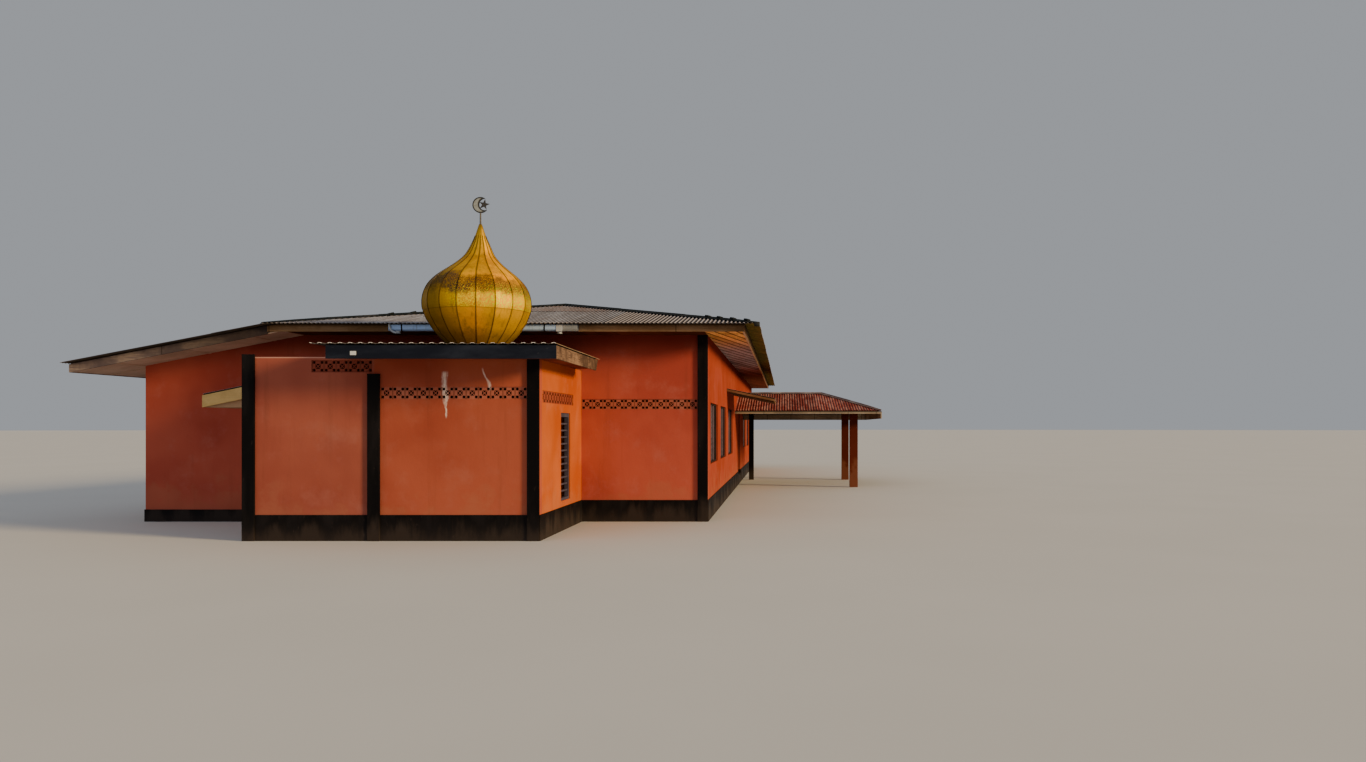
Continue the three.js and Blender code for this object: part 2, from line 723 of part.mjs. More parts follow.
// The sloping soffit under the left plane.
function soffitLeft() {
  const x0 = FASCIA_LEFT + BOARD;
  const x1 = SOFFIT_JOIN_X;
  const slope = [
    [x0, leftPlane(x0) - SOFFIT_DROP],
    [x1, leftPlane(x1) - SOFFIT_DROP],
    [x1, leftPlane(x1) - SOFFIT_DROP + SOFFIT],
    [x0, leftPlane(x0) - SOFFIT_DROP + SOFFIT],
  ];
  return alongY(slope, -FASCIA_Y + BOARD, FASCIA_Y - BOARD).subtract(hallBlock());
}

// The gutter length on the front eave, with its two outlets.
function gutter() {
  const back = -FASCIA_Y;
  const front = back - GUTTER_WIDTH;
  const outline = [
    [front, GUTTER_BOTTOM],
    [back, GUTTER_BOTTOM],
    [back, GUTTER_TOP],
    [back - GUTTER_METAL, GUTTER_TOP],
    [back - GUTTER_METAL, GUTTER_BOTTOM + GUTTER_METAL],
    [front + GUTTER_METAL, GUTTER_BOTTOM + GUTTER_METAL],
    [front + GUTTER_METAL, GUTTER_TOP],
    [front, GUTTER_TOP],
  ];
  let body = alongX(outline, GUTTER_LEFT, GUTTER_RIGHT);
  for (const x of OUTLET_X) {
    const geometry = new THREE.CylinderGeometry(OUTLET_RADIUS, OUTLET_RADIUS, OUTLET_DROP + GUTTER_METAL / 2,
      ROUND_SIDES);
    geometry.rotateX(Math.PI / 2);
    geometry.translate(x, (front + back) / 2, GUTTER_BOTTOM + GUTTER_METAL / 4 - OUTLET_DROP / 2);
    body = body.add(solid(geometry));
  }
  return body;
}

// A sloping slab that leans on a wall face, drawn in x and z.
function leanTo(wallX, outerX, wallTop, slope, thick) {
  const fall = Math.abs(outerX - wallX) * slope;
  return [
    [wallX, wallTop - thick],
    [wallX, wallTop],
    [outerX, wallTop - fall],
    [outerX, wallTop - fall - thick],
  ];
}

function canopySheet() {
  return alongY(leanTo(ROOM_LEFT, CANOPY_X, CANOPY_WALL_Z, CANOPY_SLOPE, CANOPY_SHEET),
    CANOPY_FRONT, CANOPY_REAR);
}

function canopyBoard() {
  return alongY(leanTo(ROOM_LEFT, CANOPY_X, CANOPY_WALL_Z - CANOPY_SHEET, CANOPY_SLOPE, CANOPY_BOARD),
    CANOPY_FRONT, CANOPY_FRONT + BOARD);
}

function awningSheet() {
  return alongY(leanTo(HALL_X, AWNING_X, AWNING_WALL_Z, AWNING_SLOPE, AWNING_SHEET),
    AWNING_FRONT, AWNING_REAR);
}

function awningBoard() {
  return alongY(leanTo(HALL_X, AWNING_X, AWNING_WALL_Z - AWNING_SHEET, AWNING_SLOPE, AWNING_BOARD),
    AWNING_FRONT, AWNING_FRONT + BOARD);
}

// Everything under the annex roof, raised by the given lift.
function underAnnexRoof(lift) {
  const along = alongX([
    [ANNEX_FRONT, -MARGIN],
    [ANNEX_REAR, -MARGIN],
    [ANNEX_REAR, ANNEX_EAVE_Z + lift],
    [ANNEX_MIDDLE, ANNEX_RIDGE_Z + lift],
    [ANNEX_FRONT, ANNEX_EAVE_Z + lift],
  ], HALL_X, ANNEX_RIGHT);
  const across = alongY([
    [HALL_X, -MARGIN],
    [ANNEX_RIGHT, -MARGIN],
    [ANNEX_RIGHT, ANNEX_EAVE_Z + lift],
    [ANNEX_RIDGE_X, ANNEX_RIDGE_Z + lift],
    [HALL_X, ANNEX_RIDGE_Z + lift],
  ], ANNEX_FRONT, ANNEX_REAR);
  return along.intersect(across);
}

const underAnnex = underAnnexRoof(-SHEET - SEAT);

// One plane of the annex roof, cut from its shell by the plane's outline in plan.
function annexPlane(outline) {
  return underAnnexRoof(0).subtract(underAnnexRoof(-SHEET)).intersect(alongZ(outline, 0, ABOVE_ROOF));
}

const annexRidgeEnd = [ANNEX_RIDGE_X, ANNEX_MIDDLE];
const annexRidgeFoot = [HALL_X, ANNEX_MIDDLE];
const annexFrontCorner = [ANNEX_RIGHT, ANNEX_FRONT];
const annexRearCorner = [ANNEX_RIGHT, ANNEX_REAR];

function annexRoofFront() {
  return annexPlane([[HALL_X, ANNEX_FRONT], annexFrontCorner, annexRidgeEnd, annexRidgeFoot]);
}

function annexRoofRight() {
  return annexPlane([annexFrontCorner, annexRearCorner, annexRidgeEnd]);
}

function annexRoofRear() {
  return annexPlane([annexRearCorner, [HALL_X, ANNEX_REAR], annexRidgeFoot, annexRidgeEnd]);
}

function annexPost(x, y, side) {
  return box(x, x + side, y, y + side, 0, ANNEX_RIDGE_Z).intersect(underAnnex);
}

// The eave boards of the annex in one bent piece: shallow in front, deep at the side and rear.
function annexBoards() {
  const front = box(HALL_X, ANNEX_RIGHT, ANNEX_FRONT, ANNEX_FRONT + BOARD, ANNEX_FRONT_BOARD_BOTTOM,
    ANNEX_RIDGE_Z);
  const right = box(ANNEX_RIGHT - BOARD, ANNEX_RIGHT, ANNEX_FRONT, ANNEX_REAR, ANNEX_BOARD_BOTTOM,
    ANNEX_RIDGE_Z);
  const rear = box(HALL_X, ANNEX_RIGHT, ANNEX_REAR - BOARD, ANNEX_REAR, ANNEX_BOARD_BOTTOM,
    ANNEX_RIDGE_Z);
  return front.add(right).add(rear).intersect(underAnnex);
}

const ORANGE = 0xb5492a;
const BLACK = 0x1d1c20;
const SHEET_GREY = 0x8b8784;
const TAN = 0x7a5a35;
const WEATHERED = 0x5b4a3f;
const PALE = 0xc9b68f;
const GOLD = 0xc8902a;
const STEEL = 0x9a9c98;
const GLASS = 0x3b4348;
const RED_SHEET = 0x8f3530;
const CONCRETE = 0x8d8a85;
const SLAB_GREY = 0x9d958a;
const CAPPING = 0x55504d;
const OLIVE = 0x6b5f2c;
const SOFFIT_BROWN = 0xa86a3c;
const SOFFIT_RED = 0x7e3a26;
const GUTTER_BLUE = 0xa9b4bd;
const FRAME_LILAC = 0x6e6a72;
const NAVY = 0x20242c;
const BARE_TIMBER = 0x8a7359;
const LIGHT_BROWN = 0x8f5a36;
const POST_RED = 0xa94a2c;

function buildHall() {
  const group = new THREE.Group();
  group.name = 'hall';
  group.add(piece('floor_slab', floorSlab(), CONCRETE, 0.9));
  group.add(piece('plinth', plinthBody, BLACK, 0.85));
  group.add(piece('hall_front_wall', hallFrontWall(), ORANGE, 0.9));
  group.add(piece('hall_left_wall', hallLeftWall(), ORANGE, 0.9));
  group.add(piece('hall_right_wall', hallRightWall(), ORANGE, 0.9));
  group.add(piece('hall_rear_wall', hallRearWall(), ORANGE, 0.9));
  group.add(piece('corner_strip', cornerStrip(), BLACK, 0.8));
  group.add(piece('hall_vent_blocks', frontVents(HALL_VENTS, -HALL_Y), ORANGE, 0.9));
  group.add(piece('left_windows', windowSheet(-HALL_X + WALL, -HALL_X + WALL + PANE, false), GLASS, 0.2));
  group.add(piece('right_windows', windowSheet(HALL_X - WALL - PANE, HALL_X - WALL, true), GLASS, 0.2));
  return group;
}

function buildRoof() {
  const group = new THREE.Group();
  group.name = 'hall_roof';
  group.add(piece('roof_front', roofFront(), SHEET_GREY, 0.7, 0.3));
  group.add(piece('roof_right', roofRight(), SHEET_GREY, 0.7, 0.3));
  group.add(piece('roof_left', roofLeft(), SHEET_GREY, 0.7, 0.3));
  group.add(piece('roof_rear', roofRear(), SHEET_GREY, 0.7, 0.3));
  group.add(piece('ridge_caps', ridgeCaps(), CAPPING, 0.7, 0.3));
  group.add(piece('fascia_front', fasciaFront(), TAN, 0.8));
  group.add(piece('fascia_right', fasciaRight(), OLIVE, 0.8));
  group.add(piece('fascia_rear', fasciaRear(), TAN, 0.8));
  group.add(piece('fascia_left', fasciaLeft(), WEATHERED, 0.9));
  group.add(piece('rake_board_front', rakeBoardFront(), WEATHERED, 0.9));
  group.add(piece('soffit_level', soffitLevel(), SOFFIT_BROWN, 0.85));
  group.add(piece('soffit_left', soffitLeft(), PALE, 0.85));
  group.add(piece('gutter', gutter(), GUTTER_BLUE, 0.5, 0.4));
  return group;
}

function buildFrontRoom() {
  const group = new THREE.Group();
  group.name = 'front_room';
  group.add(piece('bay_wall', bayWall(), ORANGE, 0.9));
  group.add(piece('porch_wall', porchWall(), ORANGE, 0.9));
  group.add(piece('room_left_wall', roomSideWall(ROOM_LEFT, BAY_TOP), ORANGE, 0.9));
  group.add(piece('room_right_wall', roomSideWall(ROOM_RIGHT - WALL, PORCH_WALL_TOP), ORANGE, 0.9));
  group.add(piece('pilaster_left', pilasterLeft(), BLACK, 0.8));
  group.add(piece('pilaster_middle', pilasterMiddle(), BLACK, 0.8));
  group.add(piece('pilaster_right', pilasterRight(), BLACK, 0.8));
  group.add(piece('porch_vent_blocks', frontVents(PORCH_VENTS, ROOM_FRONT), ORANGE, 0.9));
  group.add(piece('bay_vent_blocks', frontVents(BAY_VENTS, ROOM_FRONT), ORANGE, 0.9));
  group.add(piece('right_vent_blocks', sideVents(SIDE_VENTS, ROOM_RIGHT - VENT_INSET - VENT_THICK),
    ORANGE, 0.9));
  group.add(piece('left_vent_blocks', sideVents(SIDE_VENTS, ROOM_LEFT + VENT_INSET), ORANGE, 0.9));
  group.add(piece('right_slatted_window', slattedWindow(ROOM_RIGHT - SLAT_DEPTH - SLAT_INSET),
    FRAME_LILAC, 0.5));
  group.add(piece('left_slatted_window', slattedWindow(ROOM_LEFT + SLAT_INSET), FRAME_LILAC, 0.5));
  group.add(piece('bay_roof_slab', baySlab(), SLAB_GREY, 0.9));
  group.add(piece('porch_roof', porchRoof(), SHEET_GREY, 0.7, 0.3));
  group.add(piece('porch_soffit', porchSoffit(), SOFFIT_RED, 0.9));
  group.add(piece('porch_fascia_front', porchFasciaFront(), NAVY, 0.8));
  group.add(piece('porch_fascia_right', porchFasciaRight(), BARE_TIMBER, 0.9));
  group.add(piece('porch_fascia_left', porchFasciaLeft(), BARE_TIMBER, 0.9));
  group.add(piece('canopy_sheet', canopySheet(), SHEET_GREY, 0.7, 0.3));
  group.add(piece('canopy_board', canopyBoard(), PALE, 0.85));
  return group;
}

function buildDome() {
  const group = new THREE.Group();
  group.name = 'dome_and_finial';
  group.add(piece('dome', dome(), GOLD, 0.35, 0.9));
  group.add(piece('finial_rod', finialRod(), STEEL, 0.4, 0.8));
  group.add(piece('crescent', crescent(), STEEL, 0.4, 0.8));
  group.add(piece('star', star(), STEEL, 0.4, 0.8));
  return group;
}

function buildRightSide() {
  const group = new THREE.Group();
  group.name = 'right_side';
  group.add(piece('awning_sheet', awningSheet(), SHEET_GREY, 0.7, 0.3));
  group.add(piece('awning_board', awningBoard(), LIGHT_BROWN, 0.85));
  group.add(piece('annex_roof_front', annexRoofFront(), RED_SHEET, 0.6, 0.2));
  group.add(piece('annex_roof_right', annexRoofRight(), RED_SHEET, 0.6, 0.2));
  group.add(piece('annex_roof_rear', annexRoofRear(), RED_SHEET, 0.6, 0.2));
  group.add(piece('annex_boards', annexBoards(), PALE, 0.85));
  group.add(piece('annex_post_front', annexPost(POST_X, POST_FRONT_Y, POST), POST_RED, 0.85));
  group.add(piece('annex_post_rear', annexPost(POST_X, POST_REAR_Y, POST), POST_RED, 0.85));
  group.add(piece('annex_post_inner', annexPost(INNER_POST_X, POST_REAR_Y, INNER_POST), BLACK, 0.85));
  return group;
}

const building = new THREE.Group();
building.name = 'mosque';
building.add(buildHall());
building.add(buildRoof());
building.add(buildFrontRoom());
building.add(buildDome());
building.add(buildRightSide());

export default building;
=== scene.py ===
"""The looks of a single-storey prayer hall with a gold dome over its front room.

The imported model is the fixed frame. This script dresses it with roofs of corrugated sheet, boards, louvre
windows, a dome of flat gores and a finish for every surface. Sizes are metres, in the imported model's frame:
+X to the viewer's right, +Y away from the viewer, +Z up.
"""

import logging
import math
from dataclasses import dataclass, field
from enum import Enum
from typing import Callable, Dict, List, Optional, Sequence, Tuple, Union

import bmesh
import bpy
from mathutils import Matrix, Vector, noise

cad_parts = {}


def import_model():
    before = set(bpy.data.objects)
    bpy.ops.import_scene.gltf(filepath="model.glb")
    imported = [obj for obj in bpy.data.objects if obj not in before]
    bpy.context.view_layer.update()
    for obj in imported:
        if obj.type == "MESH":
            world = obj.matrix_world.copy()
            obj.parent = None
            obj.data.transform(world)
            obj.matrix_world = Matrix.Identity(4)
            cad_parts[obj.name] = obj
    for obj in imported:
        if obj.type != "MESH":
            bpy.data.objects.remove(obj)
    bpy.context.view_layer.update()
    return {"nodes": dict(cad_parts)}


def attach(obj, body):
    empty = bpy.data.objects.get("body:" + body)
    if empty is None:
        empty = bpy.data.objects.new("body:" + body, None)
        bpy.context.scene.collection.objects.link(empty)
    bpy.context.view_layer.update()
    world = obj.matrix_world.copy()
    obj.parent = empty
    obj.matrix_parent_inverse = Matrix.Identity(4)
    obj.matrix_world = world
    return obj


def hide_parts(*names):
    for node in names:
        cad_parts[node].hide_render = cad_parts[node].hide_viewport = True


LOG = logging.getLogger("prayer_hall")
ROOT = "root"
SHEET_ANGLE = 60.0
SCREW_STEP = 3

Colour = Tuple[float, float, float]
Point = Tuple[float, float, float]
PlanPoint = Tuple[float, float]
Amount = Union[float, bpy.types.NodeSocket]
Paint = Union[Colour, bpy.types.NodeSocket]
Height = Callable[[float, float], float]


class Axis(Enum):
    """An axis of the frame, as the index of its coordinate."""

    X = 0
    Y = 1
    Z = 2


class Side(Enum):
    """A side wall of the hall, as the sign of its x."""

    LEFT = -1
    RIGHT = 1


class Graph:
    """The nodes of one material, around a Principled shader."""

    def __init__(self, name: str) -> None:
        """Starts a material.

        Args:
            name: the material's name.
        """
        self.material = bpy.data.materials.new(name)
        self.material.use_nodes = True
        self.tree = self.material.node_tree
        self.tree.nodes.clear()
        output = self.tree.nodes.new("ShaderNodeOutputMaterial")
        self.shader = self.tree.nodes.new("ShaderNodeBsdfPrincipled")
        self.tree.links.new(self.shader.outputs["BSDF"], output.inputs["Surface"])
        coordinates = self.tree.nodes.new("ShaderNodeTexCoord")
        self.place = coordinates.outputs["Object"]
        self.facing = coordinates.outputs["Normal"]
        self.axes = tuple(self.node("ShaderNodeSeparateXYZ", {0: self.place}).outputs)

    def node(self, kind: str, inputs: Dict[Union[int, str], object], **settings: object) -> bpy.types.Node:
        """Adds a node.

        Args:
            kind: the node's type.
            inputs: the value or the socket for each input, by index or name.
            settings: the node's own properties.

        Returns:
            The node.
        """
        made = self.tree.nodes.new(kind)
        for key, value in settings.items():
            setattr(made, key, value)
        for key, value in inputs.items():
            self.feed(made.inputs[key], value)
        return made

    def feed(self, socket: bpy.types.NodeSocket, value: object) -> None:
        """Sets an input, or links it.

        Args:
            socket: the input.
            value: a number, a colour, a vector or another node's output.
        """
        if isinstance(value, bpy.types.NodeSocket):
            self.tree.links.new(value, socket)
        elif socket.type == "RGBA":
            socket.default_value = (*value, 1.0)
        else:
            socket.default_value = value

    def axis(self, axis: Axis) -> bpy.types.NodeSocket:
        """Returns one coordinate of the surface point."""
        return self.axes[axis.value]

    def compute(self, operation: str, first: Amount, second: Amount = 0.0) -> bpy.types.NodeSocket:
        """Returns the output of a Math node."""
        return self.node("ShaderNodeMath", {0: first, 1: second}, operation=operation).outputs[0]

    def plus(self, first: Amount, second: Amount) -> bpy.types.NodeSocket:
        """Returns the sum of two values."""
        return self.compute("ADD", first, second)

    def minus(self, first: Amount, second: Amount) -> bpy.types.NodeSocket:
        """Returns the first value less the second."""
        return self.compute("SUBTRACT", first, second)

    def times(self, first: Amount, second: Amount) -> bpy.types.NodeSocket:
        """Returns the product of two values."""
        return self.compute("MULTIPLY", first, second)

    def spread(self, value: Amount, low: float, high: float, start: float = 0.0,
               end: float = 1.0) -> bpy.types.NodeSocket:
        """Maps a range smoothly onto another, held at both ends.

        Args:
            value: what is mapped.
            low: where the start value is reached.
            high: where the end value is reached.
            start: the value up to low.
            end: the value from high on.

        Returns:
            The mapped value.
        """
        flip = low > high
        ends = {1: high, 2: low, 3: end, 4: start} if flip else {1: low, 2: high, 3: start, 4: end}
        return self.node("ShaderNodeMapRange", {0: value, **ends}, interpolation_type="SMOOTHSTEP").outputs[0]

    def noise(self, scale: float, detail: float = 4.0, rough: float = 0.55,
              stretch: Optional[Point] = None) -> bpy.types.NodeSocket:
        """Returns a cloud pattern from 0 to 1, denser along the axes whose stretch is larger."""
        place = self.place
        if stretch is not None:
            place = self.node("ShaderNodeMapping", {"Vector": place, "Scale": stretch}).outputs[0]
        inputs = {"Vector": place, "Scale": scale, "Detail": detail, "Roughness": rough}
        return self.node("ShaderNodeTexNoise", inputs).outputs[0]

    def chance(self, value: Amount, step: float, seed: float = 0.0) -> bpy.types.NodeSocket:
        """Returns a random number from 0 to 1 that holds over each step of the value."""
        number = self.compute("FLOOR", self.plus(self.compute("DIVIDE", value, step), seed))
        return self.node("ShaderNodeTexWhiteNoise", {"W": number}, noise_dimensions="1D").outputs[0]

    def lines(self, value: Amount, start: float, step: float, width: float) -> bpy.types.NodeSocket:
        """Returns a mask of lines at every step of the value from the start on."""
        away = self.compute("PINGPONG", self.minus(value, start), step / 2.0)
        return self.spread(away, width / 2.0, width, 1.0, 0.0)

    def band(self, value: Amount, low: float, high: float, soft: float) -> bpy.types.NodeSocket:
        """Returns a mask of the values between low and high, with soft edges."""
        start = self.spread(value, low - soft, low + soft)
        end = self.spread(value, high - soft, high + soft, 1.0, 0.0)
        return self.times(start, end)

    def mix(self, amount: Amount, under: Paint, over: Paint) -> bpy.types.NodeSocket:
        """Lays one colour over another by an amount."""
        inputs = {0: amount, 6: under, 7: over}
        return self.node("ShaderNodeMix", inputs, data_type="RGBA").outputs[2]

    def shade(self, paint: Paint, amount: Amount) -> bpy.types.NodeSocket:
        """Makes a colour lighter or darker by a factor."""
        return self.node("ShaderNodeHueSaturation", {"Color": paint, "Value": amount}).outputs[0]

    def bump(self, height: Amount, distance: float, strength: float,
             normal: Optional[bpy.types.NodeSocket] = None) -> bpy.types.NodeSocket:
        """Turns a height into a normal, on top of another one if it is given."""
        inputs = {"Height": height, "Distance": distance, "Strength": strength}
        if normal is not None:
            inputs["Normal"] = normal
        return self.node("ShaderNodeBump", inputs).outputs[0]

    def finish(self, paint: Paint, rough: Amount, normal: Optional[bpy.types.NodeSocket] = None,
               gloss: float = 0.5, metallic: float = 0.0) -> None:
        """Feeds the shader.

        Args:
            paint: the base colour.
            rough: the roughness.
            normal: the bumped normal.
            gloss: the strength of the plain reflection.
            metallic: how far the surface is bare metal, from 0 to 1.
        """
        self.feed(self.shader.inputs["Base Color"], paint)
        self.feed(self.shader.inputs["Roughness"], rough)
        if normal is not None:
            self.feed(self.shader.inputs["Normal"], normal)
        self.shader.inputs["Specular IOR Level"].default_value = gloss
        self.shader.inputs["Metallic"].default_value = metallic


def stretched(axis: Axis, along: float, aside: float) -> Point:
    """Returns how dense a pattern is along an axis, and along the other two."""
    stretch = [aside, aside, aside]
    stretch[axis.value] = along
    return stretch[0], stretch[1], stretch[2]


@dataclass(frozen=True)
class Finish:
    """The base of every finish."""

    name: str

    def paint(self, graph: Graph) -> None:
        """Builds the finish in a graph."""
        raise NotImplementedError

    def make(self) -> bpy.types.Material:
        """Returns the finish as a new material."""
        graph = Graph(self.name)
        self.paint(graph)
        return graph.material


@dataclass(frozen=True)
class WallPaint(Finish):
    """Orange-red emulsion on render, with clouds, runs of dirt, a dusty foot and painted shade towards the eave, in
    the rooms and in the reveals, with an optional painted highlight along the top.
    """

    deep: Colour = (0.34, 0.056, 0.038)
    warm: Colour = (0.44, 0.088, 0.056)
    faded: Colour = (0.45, 0.140, 0.112)
    dirt: Colour = (0.11, 0.035, 0.02)
    dust: Colour = (0.36, 0.17, 0.10)
    inside: Colour = (0.035, 0.014, 0.009)
    shaded_rooms: Tuple[Tuple[float, float, float, float], ...] = (
        (-5.055, 5.055, -12.105, 12.105), (-1.545, 2.717, -15.255, -12.27),
    )
    eave_shade: Colour = (0.085, 0.010, 0.005)
    splash: Colour = (0.80, 0.66, 0.60)
    crown: Colour = (0.62, 0.34, 0.27)
    eave_shade_heights: Tuple[float, float] = (2.95, 3.42)
    dusty: Tuple[float, float] = (0.75, 0.35)
    shaded_reveal_axis: Optional[Axis] = None
    joints: Optional[Tuple[Axis, float, float]] = None
    top: Optional[float] = None
    spilt: bool = False

    def paint(self, graph: Graph) -> None:
        """Builds the finish in a graph."""
        height = graph.axis(Axis.Z)
        clouds = graph.noise(0.5, 3.0)
        patches = graph.noise(2.1, 6.0, 0.62)
        runs = graph.noise(6.0, 5.0, 0.6, stretch=(1.0, 1.0, 0.06))
        paint = graph.mix(graph.spread(clouds, 0.36, 0.64), self.deep, self.warm)
        paint = graph.mix(graph.spread(patches, 0.5, 0.8, 0.0, 0.45), paint, self.faded)
        paint = graph.mix(graph.spread(runs, 0.55, 0.8, 0.0, 0.22), paint, self.dirt)
        foot = graph.plus(height, graph.spread(patches, 0.3, 0.7, -0.35, 0.35))
        paint = graph.mix(graph.spread(foot, *self.dusty, 0.0, 0.2), paint, self.dust)
        # painted shade: the wall darkens towards the eave, where the eave's shade falls
        paint = graph.mix(graph.spread(height, *self.eave_shade_heights, 0.0, 0.75), paint, self.eave_shade)
        if self.spilt:
            paint = graph.mix(self.spilt_paint(graph), paint, self.splash)
        if self.joints is not None:
            axis, start, step = self.joints
            seams = graph.lines(graph.axis(axis), start, step, 0.012)
            paint = graph.mix(graph.times(seams, 0.7), paint, self.dirt)
        # painted highlight: a pale line just under the given top
        if self.top is not None:
            rim = graph.spread(height, self.top - 0.022, self.top - 0.012, 0.0, 0.6)
            paint = graph.mix(rim, paint, self.crown)
        # painted shade: faces across the given axis, the reveals of the holes, take the dark inside colour
        if self.shaded_reveal_axis is not None:
            outward = graph.node("ShaderNodeSeparateXYZ", {0: graph.facing}).outputs[self.shaded_reveal_axis.value]
            inner = graph.spread(graph.compute("ABSOLUTE", outward), 0.6, 0.4, 0.0, 0.85)
            paint = graph.mix(inner, paint, self.inside)
        # painted shade: faces inside the rooms take the dark inside colour, for the unlit interior
        for x0, x1, y0, y1 in self.shaded_rooms:
            across = graph.band(graph.axis(Axis.X), x0, x1, 0.004)
            depth = graph.band(graph.axis(Axis.Y), y0, y1, 0.004)
            paint = graph.mix(graph.times(across, depth), paint, self.inside)
        grain = graph.bump(graph.noise(70.0, 3.0, 0.6), 0.002, 0.6)
        trowel = graph.bump(graph.noise(5.0, 2.0), 0.012, 0.35, grain)
        graph.finish(paint, graph.spread(patches, 0.3, 0.7, 0.72, 0.9), trowel, gloss=0.0)

    def spilt_paint(self, graph: Graph) -> bpy.types.NodeSocket:
        """Returns the mask of two feathery runs of white paint on the porch wall."""
        across = graph.axis(Axis.X)
        height = graph.axis(Axis.Z)
        wobble = graph.spread(graph.noise(7.0, 3.0), 0.3, 0.7, -0.012, 0.012)
        brush = graph.spread(graph.noise(22.0, 5.0, 0.7, stretch=(4.0, 1.0, 0.4)), 0.30, 0.62, 0.15, 1.0)
        middle = graph.spread(height, 1.9, 2.4, 1.424, 1.404)
        first = graph.plus(graph.minus(across, middle), wobble)
        middle = graph.spread(height, 2.38, 2.64, 2.095, 1.985)
        second = graph.plus(graph.minus(across, middle), graph.times(wobble, 0.5))
        wide = graph.spread(height, 2.05, 2.22, 0.020, 0.062)
        thin = graph.spread(height, 2.40, 2.52, 0.040, 0.020)
        masks = []
        for offset, width, low, high in ((first, wide, 1.90, 2.59), (second, thin, 2.32, 2.64)):
            share = graph.compute("DIVIDE", graph.compute("ABSOLUTE", offset), width)
            run = graph.times(graph.spread(share, 0.1, 1.0, 1.0, 0.0), graph.band(height, low, high, 0.03))
            masks.append(run)
        return graph.times(graph.compute("MAXIMUM", *masks), brush)


@dataclass(frozen=True)
class DarkPaint(Finish):
    """Near-black paint on render or timber, scuffed and dusty in places."""

    base: Colour = (0.004, 0.0035, 0.004)
    worn: Colour = (0.013, 0.011, 0.012)
    dust: Colour = (0.055, 0.04, 0.034)
    stretch: Point = (1.0, 1.0, 0.25)
    dusty_below: float = 0.35

    def paint(self, graph: Graph) -> None:
        """Builds the finish in a graph."""
        patches = graph.noise(3.0, 6.0, 0.62, stretch=self.stretch)
        scratches = graph.noise(26.0, 4.0, 0.6, stretch=self.stretch)
        paint = graph.mix(graph.spread(patches, 0.42, 0.72), self.base, self.worn)
        paint = graph.mix(graph.spread(scratches, 0.64, 0.76, 0.0, 0.5), paint, self.dust)
        foot = graph.plus(graph.axis(Axis.Z), graph.spread(patches, 0.3, 0.7, -0.2, 0.2))
        paint = graph.mix(graph.spread(foot, self.dusty_below, 0.0, 0.0, 0.5), paint, self.dust)
        rough = graph.spread(patches, 0.35, 0.7, 0.55, 0.78)
        graph.finish(paint, rough, graph.bump(graph.noise(45.0, 4.0), 0.002, 0.5), gloss=0.05)


@dataclass(frozen=True)
class BareConcrete(Finish):
    """Grey cast concrete with stains."""

    pale: Colour = (0.34, 0.32, 0.29)
    stain: Colour = (0.10, 0.09, 0.08)

    def paint(self, graph: Graph) -> None:
        """Builds the finish in a graph."""
        clouds = graph.noise(1.6, 7.0, 0.62)
        pits = graph.noise(60.0, 3.0, 0.5)
        paint = graph.mix(graph.spread(clouds, 0.42, 0.72, 0.0, 0.8), self.pale, self.stain)
        paint = graph.mix(graph.spread(pits, 0.6, 0.7, 0.0, 0.35), paint, self.stain)
        graph.finish(paint, 0.9, graph.bump(pits, 0.003, 0.6), gloss=0.1)


def valleys(graph: Graph, across: Amount, crest: float, pitch: float, start: float = 0.20,
            end: float = 0.38) -> bpy.types.NodeSocket:
    """Returns a mask of the valleys of a corrugated sheet.

    Args:
        graph: the graph that takes the nodes.
        across: the coordinate across the waves.
        crest: that coordinate at any crest.
        pitch: the distance from crest to crest.
        start: how far from a crest the mask starts, as a share of the pitch.
        end: how far from a crest it is full, as a share of the pitch.

    Returns:
        The mask, 1 in the valleys and 0 on the crests.
    """
    away = graph.compute("PINGPONG", graph.minus(across, crest), pitch / 2.0)
    return graph.spread(away, pitch * start, pitch * end)


def underside(graph: Graph) -> bpy.types.NodeSocket:
    """Returns a mask of the faces that look down, for the painted shade and painted highlight laid on them."""
    upward = graph.node("ShaderNodeSeparateXYZ", {0: graph.facing}).outputs[2]
    return graph.spread(upward, 0.0, -0.3, 0.0, 0.85)


